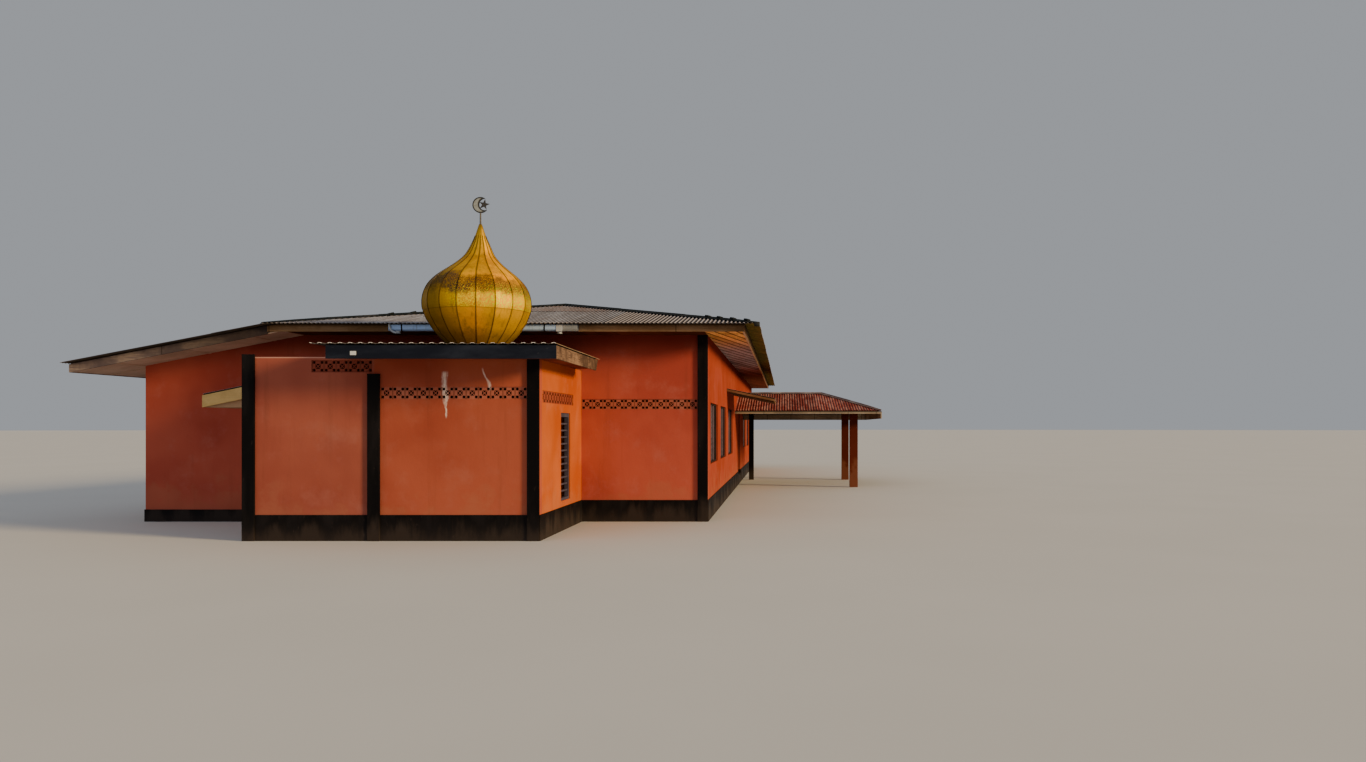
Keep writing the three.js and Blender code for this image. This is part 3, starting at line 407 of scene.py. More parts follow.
@dataclass(frozen=True)
class RoofSheet(Finish):
    """Old corrugated sheet: dull grey that rusts, with one tone for each sheet, pale cut ends lightened by a painted
    highlight, painted highlights on the crests and the side lap, and painted shade in the valleys and underneath.
    """

    across: Axis
    crest: float
    edge: Tuple[Axis, float, float]
    pitch: float = 0.076
    grey: Colour = (0.145, 0.160, 0.215)
    pale: Colour = (0.29, 0.32, 0.42)
    rust: Colour = (0.17, 0.07, 0.04)
    dark: Colour = (0.035, 0.03, 0.03)
    rusty: float = 0.30
    lap_height: float = 4.082
    lap_rust: float = 0.5
    sheet: float = 0.76
    trough_shade: Tuple[float, float, float] = (0.14, 0.26, 0.92)
    belly: Colour = (0.035, 0.03, 0.03)
    tips: Colour = (0.78, 0.64, 0.54)
    crest_highlight: Colour = (0.56, 0.50, 0.49)
    lap: Colour = (0.55, 0.54, 0.56)
    lip: Colour = (0.62, 0.42, 0.27)
    batch: Optional[Tuple[float, Colour]] = None
    verge: Optional[float] = None

    def paint(self, graph: Graph) -> None:
        """Builds the finish in a graph."""
        height = graph.axis(Axis.Z)
        streak = stretched(self.across, 1.0, 0.12)
        streaks = graph.noise(5.0, 6.0, 0.62, stretch=streak)
        blooms = graph.noise(1.1, 6.0, 0.66)
        fine = graph.noise(17.0, 5.0, 0.65, stretch=streak)
        tone = graph.chance(graph.axis(self.across), self.sheet, 7.3)
        paint = graph.mix(graph.spread(streaks, 0.36, 0.68), self.grey, self.pale)
        upper = graph.spread(height, self.lap_height - 0.004, self.lap_height + 0.004, 0.0, self.lap_rust)
        amount = graph.plus(graph.spread(blooms, 0.46, 0.72, 0.0, self.rusty), upper)
        amount = graph.times(amount, graph.spread(fine, 0.3, 0.6, 0.35, 1.0))
        paint = graph.mix(amount, paint, self.rust)
        paint = graph.mix(graph.spread(fine, 0.58, 0.78, 0.0, 0.55), paint, self.dark)
        # pale cut ends, lightened further by a painted highlight along the sheet's edge
        axis, start, reach = self.edge
        ends = graph.spread(graph.axis(axis), start + reach, start, 0.0, 0.85)
        paint = graph.mix(ends, paint, self.tips)
        paint = graph.shade(paint, graph.spread(tone, 0.0, 1.0, 0.78, 1.22))
        if self.batch is not None:
            start, tint = self.batch
            beyond = graph.spread(graph.axis(self.across), start, start + 0.01, 0.0, 0.55)
            paint = graph.mix(beyond, paint, tint)
            # painted highlight along the raised side lap
            paint = graph.mix(graph.band(graph.axis(self.across), start - 0.02, start, 0.004), paint, self.lap)
        # painted highlight on the crests
        highlit_crests = valleys(graph, graph.axis(self.across), self.crest + self.pitch / 2.0, self.pitch, 0.34, 0.46)
        paint = graph.mix(graph.times(highlit_crests, 0.5), paint, self.crest_highlight)
        # painted shade in the valleys
        first, last, depth = self.trough_shade
        valley_shade = valleys(graph, graph.axis(self.across), self.crest, self.pitch, first, last)
        paint = graph.mix(graph.times(valley_shade, depth), paint, self.dark)
        # painted shade on the faces that look down
        belly = graph.shade(self.belly, graph.spread(fine, 0.35, 0.65, 1.3, 0.5))
        paint = graph.mix(underside(graph), paint, belly)
        # the lip beyond the verge is a worn cut edge lightened by a painted highlight of the lit edge, also on its
        # underside
        if self.verge is not None:
            beyond = graph.spread(graph.axis(self.across), self.verge, self.verge + 0.004)
            paint = graph.mix(graph.times(beyond, graph.spread(fine, 0.3, 0.6, 0.9, 0.45)), paint, self.lip)
        rough = graph.spread(streaks, 0.3, 0.7, 0.45, 0.72)
        graph.finish(paint, rough, graph.bump(fine, 0.0015, 0.5), gloss=0.0)


@dataclass(frozen=True)
class RedSheet(Finish):
    """Red corrugated sheet whose paint has chalked to pink in patches, with painted shade in the valleys and
    underneath.
    """

    across: Axis
    crest: float
    pitch: float = 0.076
    red: Colour = (0.22, 0.048, 0.038)
    pink: Colour = (0.42, 0.205, 0.170)
    dark: Colour = (0.06, 0.014, 0.012)

    def paint(self, graph: Graph) -> None:
        """Builds the finish in a graph."""
        streaks = graph.noise(7.0, 6.0, 0.68, stretch=stretched(self.across, 1.0, 0.2))
        patches = graph.noise(2.2, 5.0, 0.6)
        flakes = graph.noise(16.0, 4.0, 0.65)
        tone = graph.chance(graph.axis(self.across), 0.76, 3.1)
        paint = graph.mix(graph.spread(streaks, 0.42, 0.62, 0.0, 0.8), self.red, self.pink)
        paint = graph.mix(graph.spread(flakes, 0.54, 0.66, 0.0, 0.6), paint, self.pink)
        paint = graph.mix(graph.spread(flakes, 0.44, 0.34, 0.0, 0.5), paint, self.dark)
        paint = graph.mix(graph.spread(patches, 0.52, 0.75, 0.0, 0.6), paint, self.dark)
        paint = graph.shade(paint, graph.spread(tone, 0.0, 1.0, 0.82, 1.15))
        # painted shade in the valleys and on the faces that look down
        valley_shade = valleys(graph, graph.axis(self.across), self.crest, self.pitch)
        paint = graph.mix(graph.times(valley_shade, 0.5), paint, self.dark)
        paint = graph.mix(underside(graph), paint, self.dark)
        graph.finish(paint, graph.spread(streaks, 0.3, 0.7, 0.5, 0.75), graph.bump(streaks, 0.0015, 0.5), gloss=0.0)


@dataclass(frozen=True)
class CappingMetal(Finish):
    """Dull dark metal of the ridge and hip cappings."""

    dark: Colour = (0.010, 0.013, 0.014)
    worn: Colour = (0.035, 0.036, 0.038)
    rust: Colour = (0.075, 0.045, 0.032)

    def paint(self, graph: Graph) -> None:
        """Builds the finish in a graph."""
        patches = graph.noise(2.4, 6.0, 0.65)
        specks = graph.noise(24.0, 4.0, 0.6)
        paint = graph.mix(graph.spread(patches, 0.45, 0.7), self.dark, self.worn)
        paint = graph.mix(graph.spread(specks, 0.58, 0.72, 0.0, 0.6), paint, self.rust)
        graph.finish(paint, graph.spread(patches, 0.3, 0.7, 0.6, 0.8), graph.bump(specks, 0.001, 0.4), gloss=0.05)


@dataclass(frozen=True)
class Board(Finish):
    """A painted or bare board, with grain along its length and wear to the wood."""

    along: Axis
    coat: Colour
    worn: Colour
    dark: Colour = (0.05, 0.035, 0.025)
    wear: float = 0.5
    joint: Optional[Tuple[float, float]] = None
    top: Optional[float] = None
    shadow: float = 0.05
    belly: Optional[Colour] = None
    gloom: Optional[Tuple[Axis, float, float]] = None

    def paint(self, graph: Graph) -> None:
        """Builds the finish in a graph."""
        stretch = stretched(self.along, 1.0, 14.0)
        grain = graph.noise(2.6, 6.0, 0.66, stretch=stretch)
        patches = graph.noise(1.3, 6.0, 0.65)
        checks = graph.noise(7.0, 5.0, 0.7, stretch=stretch)
        amount = graph.times(graph.spread(patches, 0.4, 0.62), graph.spread(grain, 0.3, 0.6))
        paint = graph.mix(graph.times(amount, self.wear), self.coat, self.worn)
        paint = graph.mix(graph.spread(checks, 0.55, 0.75, 0.0, 0.3 + 0.5 * self.wear), paint, self.dark)
        paint = graph.shade(paint, graph.spread(patches, 0.3, 0.7, 0.82, 1.14))
        if self.joint is not None:
            start, step = self.joint
            gaps = graph.lines(graph.axis(self.along), start, step, 0.010)
            paint = graph.mix(graph.times(gaps, 0.85), paint, self.dark)
        if self.top is not None:
            shadow = graph.spread(graph.axis(Axis.Z), self.top - self.shadow, self.top, 0.0, 0.85)
            paint = graph.mix(shadow, paint, self.dark)
        if self.gloom is not None:
            axis, start, end = self.gloom
            paint = graph.mix(graph.spread(graph.axis(axis), start, end, 0.0, 0.75), paint, self.dark)
        # the faces that look down take the belly colour: painted highlight where it is paler, painted shade where it
        # is darker
        if self.belly is not None:
            paint = graph.mix(underside(graph), paint, self.belly)
        normal = graph.bump(checks, 0.002, 0.7, graph.bump(grain, 0.003, 0.4))
        graph.finish(paint, graph.spread(grain, 0.3, 0.7, 0.58, 0.85), normal, gloss=0.0)


@dataclass(frozen=True)
class SoffitBoards(Finish):
    """Boards under an eave: each has its own tone, warm near the front and greyer further back."""

    start: float
    width: float = 0.2
    skew: float = 0.0
    warm: Colour = (0.86, 0.42, 0.12)
    grey: Colour = (0.42, 0.32, 0.34)
    red: Colour = (0.23, 0.08, 0.045)
    dark: Colour = (0.06, 0.035, 0.025)

    def paint(self, graph: Graph) -> None:
        """Builds the finish in a graph."""
        depth = graph.axis(Axis.Y)
        place = graph.minus(graph.minus(graph.axis(Axis.X), graph.times(depth, self.skew)), self.start)
        tone = graph.chance(place, self.width, 0.0)
        grain = graph.noise(3.0, 6.0, 0.65, stretch=stretched(Axis.Y, 1.0, 12.0))
        patches = graph.noise(1.4, 5.0, 0.6)
        paint = graph.mix(graph.spread(depth, -12.0, -8.0), self.warm, self.grey)
        paint = graph.mix(graph.spread(depth, -4.0, 3.0), paint, self.red)
        paint = graph.mix(graph.spread(grain, 0.45, 0.75, 0.0, 0.5), paint, self.dark)
        paint = graph.mix(graph.spread(patches, 0.5, 0.75, 0.0, 0.45), paint, self.dark)
        paint = graph.shade(paint, graph.spread(tone, 0.0, 1.0, 0.72, 1.2))
        gaps = graph.lines(place, 0.0, self.width, 0.028)
        paint = graph.mix(graph.times(gaps, 0.95 if self.skew else 0.0), paint, self.dark)
        graph.finish(paint, graph.spread(grain, 0.3, 0.7, 0.55, 0.8), graph.bump(grain, 0.002, 0.5), gloss=0.0)


@dataclass(frozen=True)
class GutterPaint(Finish):
    """Pale blue-grey paint on thin metal, stained along its foot, with a painted shadow of the sheet edge along its
    top.
    """

    base: Colour = (0.38, 0.56, 0.92)
    fade: Colour = (0.50, 0.62, 0.82)
    dirt: Colour = (0.12, 0.14, 0.18)
    gap: Colour = (0.012, 0.015, 0.022)
    end: Colour = (0.09, 0.085, 0.08)
    foot: float = 3.45
    shadow_brow: float = 3.552
    stop: float = 2.968

    def paint(self, graph: Graph) -> None:
        """Builds the finish in a graph."""
        patches = graph.noise(3.2, 5.0, 0.6)
        runs = graph.noise(18.0, 4.0, 0.6, stretch=(1.0, 1.0, 0.15))
        paint = graph.mix(graph.spread(patches, 0.45, 0.75, 0.0, 0.6), self.base, self.fade)
        paint = graph.mix(graph.spread(runs, 0.56, 0.76, 0.0, 0.45), paint, self.dirt)
        low = graph.spread(graph.axis(Axis.Z), self.foot + 0.03, self.foot, 0.0, 0.4)
        paint = graph.mix(low, paint, self.dirt)
        # painted shadow of the sheet edge along the gutter's top, in the gap colour
        shadow_brow = graph.spread(graph.axis(Axis.Z), self.shadow_brow - 0.006, self.shadow_brow, 0.0, 0.92)
        paint = graph.mix(shadow_brow, paint, self.gap)
        beyond = graph.spread(graph.axis(Axis.X), self.stop, self.stop + 0.006, 0.0, 0.85)
        paint = graph.mix(beyond, paint, self.end)
        graph.finish(paint, graph.spread(patches, 0.3, 0.7, 0.38, 0.6), graph.bump(runs, 0.001, 0.4), gloss=0.2)


@dataclass(frozen=True)
class GoldGores(Finish):
    """Gold-coloured sheet in flat gores, each with its own tone, with a tarnished belt above the belly, a painted
    highlight with glints on the upper right and painted shade on the left side and lower right.
    """

    centre: PlanPoint
    lean: Tuple[float, float, float]
    turn: float
    gores: int
    joint: float
    gold: Colour = (0.88, 0.49, 0.003)
    pale: Colour = (1.0, 0.84, 0.002)
    highlight_right: Colour = (0.58, 0.74, 0.0)
    amber: Colour = (0.70, 0.33, 0.002)
    tarnish: Colour = (0.085, 0.045, 0.040)
    olive: Colour = (0.135, 0.080, 0.008)
    seam: Colour = (0.045, 0.022, 0.006)
    lower: Colour = (0.92, 0.46, 0.001)
    lower_right_shade: Colour = (0.62, 0.38, 0.0)
    neck: Colour = (0.90, 0.60, 0.05)
    belt: Tuple[float, float] = (3.90, 4.18)

    def paint(self, graph: Graph) -> None:
        """Builds the finish in a graph."""
        height = graph.axis(Axis.Z)
        shift, low, high = self.lean
        middle = graph.plus(graph.spread(height, low, high, 0.0, shift), self.centre[0])
        x = graph.minus(graph.axis(Axis.X), middle)
        y = graph.minus(graph.axis(Axis.Y), self.centre[1])
        turn = graph.plus(graph.compute("ARCTAN2", y, x), 2.5 * math.pi - self.turn)
        turn = graph.compute("FLOORED_MODULO", turn, 2.0 * math.pi)
        step = 2.0 * math.pi / self.gores
        clouds = graph.noise(3.4, 6.0, 0.66)
        specks = graph.noise(46.0, 3.0, 0.7)
        streaks = graph.noise(14.0, 4.0, 0.6, stretch=(1.0, 1.0, 0.12))
        upper = graph.spread(height, self.joint - 0.006, self.joint + 0.006)
        belly = graph.minus(1.0, upper)
        paint = graph.mix(graph.spread(clouds, 0.36, 0.66), self.amber, self.gold)
        # painted shade: the lower zone darkens to the right, tempering the highlight there
        lower = graph.mix(graph.spread(x, 0.15, 0.45), self.lower, self.lower_right_shade)
        paint = graph.mix(graph.times(belly, 0.75), paint, lower)
        # painted highlight and glints on the upper part, paler towards the right
        painted_glints = graph.times(upper, graph.spread(specks, 0.44, 0.62, 0.0, 0.85))
        painted_glints = graph.times(painted_glints, graph.spread(height, 4.08, 3.94))
        highlight_paint = graph.mix(graph.spread(x, -0.35, 0.0), self.gold, self.pale)
        paint = graph.mix(painted_glints, paint, graph.mix(graph.spread(x, 0.20, 0.45), highlight_paint, self.highlight_right))
        pits = graph.times(upper, graph.spread(specks, 0.44, 0.34, 0.0, 0.45))
        paint = graph.mix(pits, paint, self.amber)
        paint = graph.mix(graph.spread(streaks, 0.5, 0.75, 0.0, 0.4), paint, self.olive)
        paint = graph.mix(self.belt_mask(graph, height, x, clouds), paint, self.tarnish)
        # painted shade: olive on the left side of the dome
        left = graph.spread(x, 0.05, -0.55, 0.0, 0.72)
        side = graph.times(left, graph.spread(clouds, 0.3, 0.5, 0.6, 1.0))
        side = graph.times(side, graph.spread(height, 4.6, 4.2))
        paint = graph.mix(side, paint, self.olive)
        paint = graph.mix(graph.spread(height, 3.42, 3.08, 0.0, 0.5), paint, self.olive)
        paint = graph.mix(graph.spread(height, 4.45, 4.90, 0.0, 0.5), paint, self.neck)
        tone = graph.chance(turn, step, 0.0)
        second = graph.chance(turn, step, graph.times(belly, 37.0))
        tones = graph.plus(graph.spread(tone, 0.0, 1.0, 0.44, 0.56), graph.spread(second, 0.0, 1.0, 0.42, 0.56))
        paint = graph.shade(paint, tones)
        radius = graph.compute("SQRT", graph.plus(graph.times(x, x), graph.times(y, y)))
        away = graph.times(graph.compute("PINGPONG", turn, step / 2.0), radius)
        paint = graph.mix(graph.spread(away, 0.004, 0.020, 0.55, 0.0), paint, self.seam)
        lap = graph.band(height, self.joint - 0.010, self.joint - 0.002, 0.003)
        paint = graph.mix(graph.times(lap, 0.5), paint, self.seam)
        normal = graph.bump(specks, 0.002, 0.5, graph.bump(graph.noise(7.0, 2.0, 0.5), 0.02, 0.3))
        rough = graph.plus(graph.spread(clouds, 0.3, 0.7, 0.54, 0.66),
                           graph.times(graph.band(height, *self.belt, 0.07), 0.15))
        rough = graph.plus(rough, graph.spread(x, -0.1, 0.3, 0.0, 0.14))
        graph.finish(paint, rough, normal, metallic=0.97)

    def belt_mask(self, graph: Graph, height: Amount, x: Amount, clouds: Amount) -> bpy.types.NodeSocket:
        """Returns the mask of the speckled tarnish.

        Args:
            graph: the graph that takes the nodes.
            height: the height of the surface point.
            x: how far it lies to the right of the dome's middle.
            clouds: a cloud pattern.

        Returns:
            The mask.
        """
        grain = graph.noise(85.0, 2.0, 0.5)
        wander = graph.plus(height, graph.spread(clouds, 0.3, 0.7, -0.09, 0.09))
        wander = graph.plus(wander, graph.spread(x, -0.6, 0.6, -0.03, 0.03))
        belt = graph.band(wander, *self.belt, 0.075)
        belt = graph.times(belt, graph.spread(x, -0.2, 0.9, 1.0, 0.72))
        return graph.times(belt, graph.spread(grain, 0.46, 0.64, 1.0, 0.2))


@dataclass(frozen=True)
class PlainMetal(Finish):
    """Dull metal, on a plate pale within a dark rim that follows its two circles."""

    rim: Colour = (0.06, 0.055, 0.05)
    flat: Optional[Colour] = None
    circles: Tuple[Tuple[float, float, float], ...] = ()
    speck: Colour = (0.10, 0.075, 0.05)
    metallic: float = 0.6

    def paint(self, graph: Graph) -> None:
        """Builds the finish in a graph."""
        specks = graph.noise(40.0, 4.0, 0.6)
        paint: Paint = self.rim
        if self.flat is not None:
            paint = self.flat
            for x, z, radius in self.circles:
                run = graph.minus(graph.axis(Axis.X), x)
                rise = graph.minus(graph.axis(Axis.Z), z)
                reach = graph.compute("SQRT", graph.plus(graph.times(run, run), graph.times(rise, rise)))
                away = graph.compute("ABSOLUTE", graph.minus(reach, radius))
                paint = graph.mix(graph.spread(away, 0.016, 0.024, 1.0, 0.0), paint, self.rim)
        paint = graph.mix(graph.spread(specks, 0.5, 0.75, 0.0, 0.5), paint, self.speck)
        graph.finish(paint, graph.spread(specks, 0.3, 0.7, 0.32, 0.55), graph.bump(specks, 0.001, 0.3),
                     metallic=self.metallic)


@dataclass(frozen=True)
class DarkGlass(Finish):
    """Louvre glass painted near-black as painted shade of the unlit room behind it, with a film of dust."""

    base: Colour = (0.006, 0.006, 0.007)
    dust: Colour = (0.028, 0.024, 0.024)

    def paint(self, graph: Graph) -> None:
        """Builds the finish in a graph."""
        film = graph.noise(4.0, 5.0, 0.6)
        paint = graph.mix(graph.spread(film, 0.45, 0.8, 0.1, 0.6), self.base, self.dust)
        graph.finish(paint, graph.spread(film, 0.3, 0.7, 0.4, 0.6), gloss=0.0)


@dataclass(frozen=True)
class FramePaint(Finish):
    """Grey-lilac paint of the window frames and slats, chipped at random."""

    base: Colour
    chip: Colour = (0.030, 0.020, 0.02)

    def paint(self, graph: Graph) -> None:
        """Builds the finish in a graph."""
        patches = graph.noise(5.0, 5.0, 0.6)
        chips = graph.noise(38.0, 4.0, 0.65)
        paint = graph.shade(self.base, graph.spread(patches, 0.3, 0.7, 0.8, 1.2))
        paint = graph.mix(graph.spread(chips, 0.62, 0.72, 0.0, 0.8), paint, self.chip)
        graph.finish(paint, graph.spread(patches, 0.3, 0.7, 0.4, 0.6), graph.bump(chips, 0.001, 0.4), gloss=0.0)


@dataclass(frozen=True)
class StudioFloor(Finish):
    """A plain pale floor."""

    base: Colour = (0.60, 0.59, 0.575)

    def paint(self, graph: Graph) -> None:
        """Builds the finish in a graph."""
        graph.finish(graph.shade(self.base, graph.spread(graph.noise(0.3, 3.0), 0.3, 0.7, 0.985, 1.015)), 0.85)


class Palette:
    """Makes each finish once."""

    def __init__(self) -> None:
        """Starts with no materials."""
        self.made: Dict[Finish, bpy.types.Material] = {}

    def get(self, finish: Finish) -> bpy.types.Material:
        """Returns the material of a finish."""
        if finish not in self.made:
            self.made[finish] = finish.make()
        return self.made[finish]


@dataclass(frozen=True)
class Cut:
    """A cut straight down through two points of the plan; what lies on the kept point's side stays."""

    first: PlanPoint
    second: PlanPoint
    kept: PlanPoint

    def normal(self) -> Vector:
        """Returns the level direction that points away from the kept side."""
        run = Vector((self.second[0] - self.first[0], self.second[1] - self.first[1]))
        away = Vector((run.y, -run.x, 0.0)).normalized()
        inward = Vector((self.kept[0] - self.first[0], self.kept[1] - self.first[1], 0.0))
        return -away if away.dot(inward) > 0.0 else away

    def keeps(self, point: Vector, margin: float) -> bool:
        """Tells whether a point lies on the kept side, at least a margin from the cut."""
        offset = Vector((point.x - self.first[0], point.y - self.first[1], 0.0))
        return offset.dot(self.normal()) < -margin


@dataclass(frozen=True)
class Slope:
    """One plane of a roof, by its lower corner, its eave's direction and its rise."""

    corner: Point
    across: Point
    rise: Point
    width: float
    length: float
    cuts: Tuple[Cut, ...] = ()

    def matrix(self) -> Matrix:
        """Returns the matrix from (across, up the slope, out of the plane) to the frame."""
        across = Vector(self.across).normalized()
        rise = Vector(self.rise).normalized()
        turn = Matrix((across, rise, across.cross(rise))).transposed().to_4x4()
        return Matrix.Translation(self.corner) @ turn


@dataclass(frozen=True)
class Corrugation:
    """The wave of a sheet, the width of one sheet, and how unevenly the sheets lie."""

    pitch: float = 0.076
    depth: float = 0.018
    gauge: float = 0.0015
    facets: int = 8
    sheet: float = 0.76
    rows: int = 3
    lift: float = 0.006
    clearance: float = 0.003
    ragged: float = 0.008
    slip: float = 0.002
    sag: float = 0.003


class Shape:
    """A mesh in the making."""

    def __init__(self) -> None:
        """Starts an empty mesh."""
        self.bm = bmesh.new()

    def block(self, low: Point, high: Point, soften: float = 0.0, matrix: Optional[Matrix] = None) -> None:
        """Adds a block between two corners.

        Args:
            low: its lowest corner.
            high: its highest corner.
            soften: the width of its bevelled edges.
            matrix: moves the block once it is in place.
        """
        verts = bmesh.ops.create_cube(self.bm, size=1.0)["verts"]
        size = Vector(high) - Vector(low)
        place = Matrix.Translation((Vector(low) + Vector(high)) / 2.0) @ Matrix.Diagonal((*size, 1.0))
        bmesh.ops.transform(self.bm, matrix=(matrix or Matrix()) @ place, verts=verts)
        if soften > 0.0:
            self.soften(list(dict.fromkeys(edge for vert in verts for edge in vert.link_edges)), soften)

    def soften(self, edges: List[bmesh.types.BMEdge], width: float) -> None:
        """Bevels some edges."""
        bmesh.ops.bevel(self.bm, geom=edges, offset=width, offset_type="OFFSET", segments=1, profile=0.5,
                        affect="EDGES", clamp_overlap=True, material=-1)

    def rod(self, start: Point, end: Point, radius: float, sides: int, tip: Optional[float] = None) -> None:
        """Adds a round bar between two points, of another radius at its tip if that is given."""
        run = Vector(end) - Vector(start)
        verts = bmesh.ops.create_cone(self.bm, cap_ends=True, segments=sides, radius1=radius,
                                      radius2=radius if tip is None else tip, depth=run.length)["verts"]
        turn = run.to_track_quat("Z", "Y").to_matrix().to_4x4()
        middle = Matrix.Translation((Vector(start) + Vector(end)) / 2.0)
        bmesh.ops.transform(self.bm, matrix=middle @ turn, verts=verts)

    def fold(self, points: Sequence[Point], sweep: Point) -> List[bmesh.types.BMFace]:
        """Draws a chain of points out along a sweep.

        Args:
            points: the chain.
            sweep: the way that it is drawn out.

        Returns:
            The faces made.
        """
        verts = [self.bm.verts.new(point) for point in points]
        edges = [self.bm.edges.new(pair) for pair in zip(verts, verts[1:])]
        made = bmesh.ops.extrude_edge_only(self.bm, edges=edges)["geom"]
        moved = [item for item in made if isinstance(item, bmesh.types.BMVert)]
        bmesh.ops.translate(self.bm, vec=Vector(sweep), verts=moved)
        return [item for item in made if isinstance(item, bmesh.types.BMFace)]

    def grid(self, columns: int, rows: int) -> List[bmesh.types.BMVert]:
        """Adds a grid one metre square about the origin, and returns its points."""
        return bmesh.ops.create_grid(self.bm, x_segments=columns, y_segments=rows, size=0.5)["verts"]

    def cut(self, point: Point, normal: Union[Point, Vector], closed: bool = False) -> None:
        """Cuts away what lies beyond a plane.

        Args:
            point: a point of the plane.
            normal: the direction of what goes.
            closed: whether the cut of a solid is closed.
        """
        geom = self.bm.verts[:] + self.bm.edges[:] + self.bm.faces[:]
        made = bmesh.ops.bisect_plane(self.bm, geom=geom, dist=1e-6, plane_co=point, plane_no=normal,
                                      clear_outer=True)["geom_cut"]
        if closed:
            edges = [item for item in made if isinstance(item, bmesh.types.BMEdge)]
            bmesh.ops.contextual_create(self.bm, geom=edges)

    def thicken(self, gauge: float) -> None:
        """Gives every face a thickness, inwards."""
        bmesh.ops.solidify(self.bm, geom=self.bm.faces[:], thickness=gauge)

    def outwards(self) -> None:
        """Merges doubles and turns all faces outwards."""
        bmesh.ops.remove_doubles(self.bm, verts=self.bm.verts[:], dist=1e-5)
        bmesh.ops.recalc_face_normals(self.bm, faces=self.bm.faces[:])

    def publish(self, name: str, material: bpy.types.Material, slot: str, replaced: Sequence[str] = (),
                smooth: Optional[float] = None) -> bpy.types.Object:
        """Makes the mesh a piece of the building.

        Args:
            name: the piece's name.
            material: its finish.
            slot: not used.
            replaced: the nodes that it stands for.
            smooth: the angle in degrees up to which it is shaded smoothly.

        Returns:
            The piece.
        """
        mesh = bpy.data.meshes.new(name)
        self.bm.to_mesh(mesh)
        self.bm.free()
        mesh.materials.append(material)
        if smooth is not None:
            mesh.shade_smooth()
            mesh.set_sharp_from_angle(angle=math.radians(smooth))
        piece = bpy.data.objects.new(name, mesh)
        bpy.context.scene.collection.objects.link(piece)
        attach(piece, ROOT)
        if replaced:
            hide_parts(*replaced)
        LOG.info("%s: %d faces", name, len(mesh.polygons))
        return piece


def chance(first: float, second: float = 0.0, third: float = 0.0) -> float:
    """Returns a number from 0 to 1 that is always the same for the same three."""
    return 0.5 + 0.5 * noise.cell(Vector((first + 0.5, second + 0.5, third + 0.5)))


def lay_sheets(shape: Shape, slope: Slope, wave: Corrugation, courses: Sequence[Tuple[float, float]],
               seed: float) -> None:
    """Lays courses of corrugated sheet on a slope, their crests just under its plane.

    Args:
        shape: the mesh that takes them.
        slope: the roof plane.
        wave: the sheet's wave.
        courses: where each course starts and ends up the slope.
        seed: sets the random part.
    """
    matrix = slope.matrix()
    columns = max(2, round(slope.width / wave.pitch * wave.facets))
    for index, (low, high) in enumerate(courses):
        verts = shape.grid(columns, wave.rows)
        for vert in verts:
            across = (vert.co.x + 0.5) * slope.width
            share = vert.co.y + 0.5
            luck = chance(math.floor(across / wave.sheet), index, seed)
            ragged = wave.ragged * luck * (1.0 - share) ** 8
            sag = wave.sag * noise.noise(Vector((across * 0.6, share * 2.0 + index, seed)))
            crest = wave.depth / 2.0 * (1.0 - math.cos(2.0 * math.pi * across / wave.pitch))
            vert.co = (across, low + share * (high - low) + ragged,
                       -crest - wave.lift * share - wave.slip * luck - wave.clearance + sag)
        bmesh.ops.transform(shape.bm, matrix=matrix, verts=verts)
    for cut in slope.cuts:
        shape.cut((*cut.first, 0.0), cut.normal())


def cover(name: str, node: str, material: bpy.types.Material, slot: str, slope: Slope, wave: Corrugation,
          seed: float, courses: Sequence[Tuple[float, float]] = ()) -> None:
    """Covers a slope with sheets that make one piece.

    Args:
        name: the piece's name.
        node: the node that it stands for.
        material: its finish.
        slot: a label passed on to publish.
        slope: the roof plane.
        wave: the sheet's wave.
        seed: sets the random part.
        courses: where each course starts and ends, or nothing for one course over the whole slope.
    """
    shape = Shape()
    lay_sheets(shape, slope, wave, courses or [(0.0, slope.length)], seed)
    shape.thicken(wave.gauge)
    shape.publish(name, material, slot, (node,), SHEET_ANGLE)


def drive_screws(shape: Shape, slope: Slope, wave: Corrugation, rows: Sequence[float]) -> None:
    """Puts roofing screws on every third crest of a slope, clear of its hips.

    Args:
        shape: the mesh that takes them.
        slope: the roof plane.
        wave: the sheet's wave.
        rows: how far up the slope each row is.
    """
    matrix = slope.matrix()
    for row in rows:
        for crest in range(1, int(slope.width / wave.pitch), SCREW_STEP):
            local = Vector((crest * wave.pitch, row, 0.0))
            if all(cut.keeps(matrix @ local, 0.2) for cut in slope.cuts):
                foot = matrix @ (local + Vector((0.0, 0.0, -0.006)))
                head = matrix @ (local + Vector((0.0, 0.0, 0.004)))
                shape.rod(tuple(foot), tuple(head), 0.011, 6, 0.006)


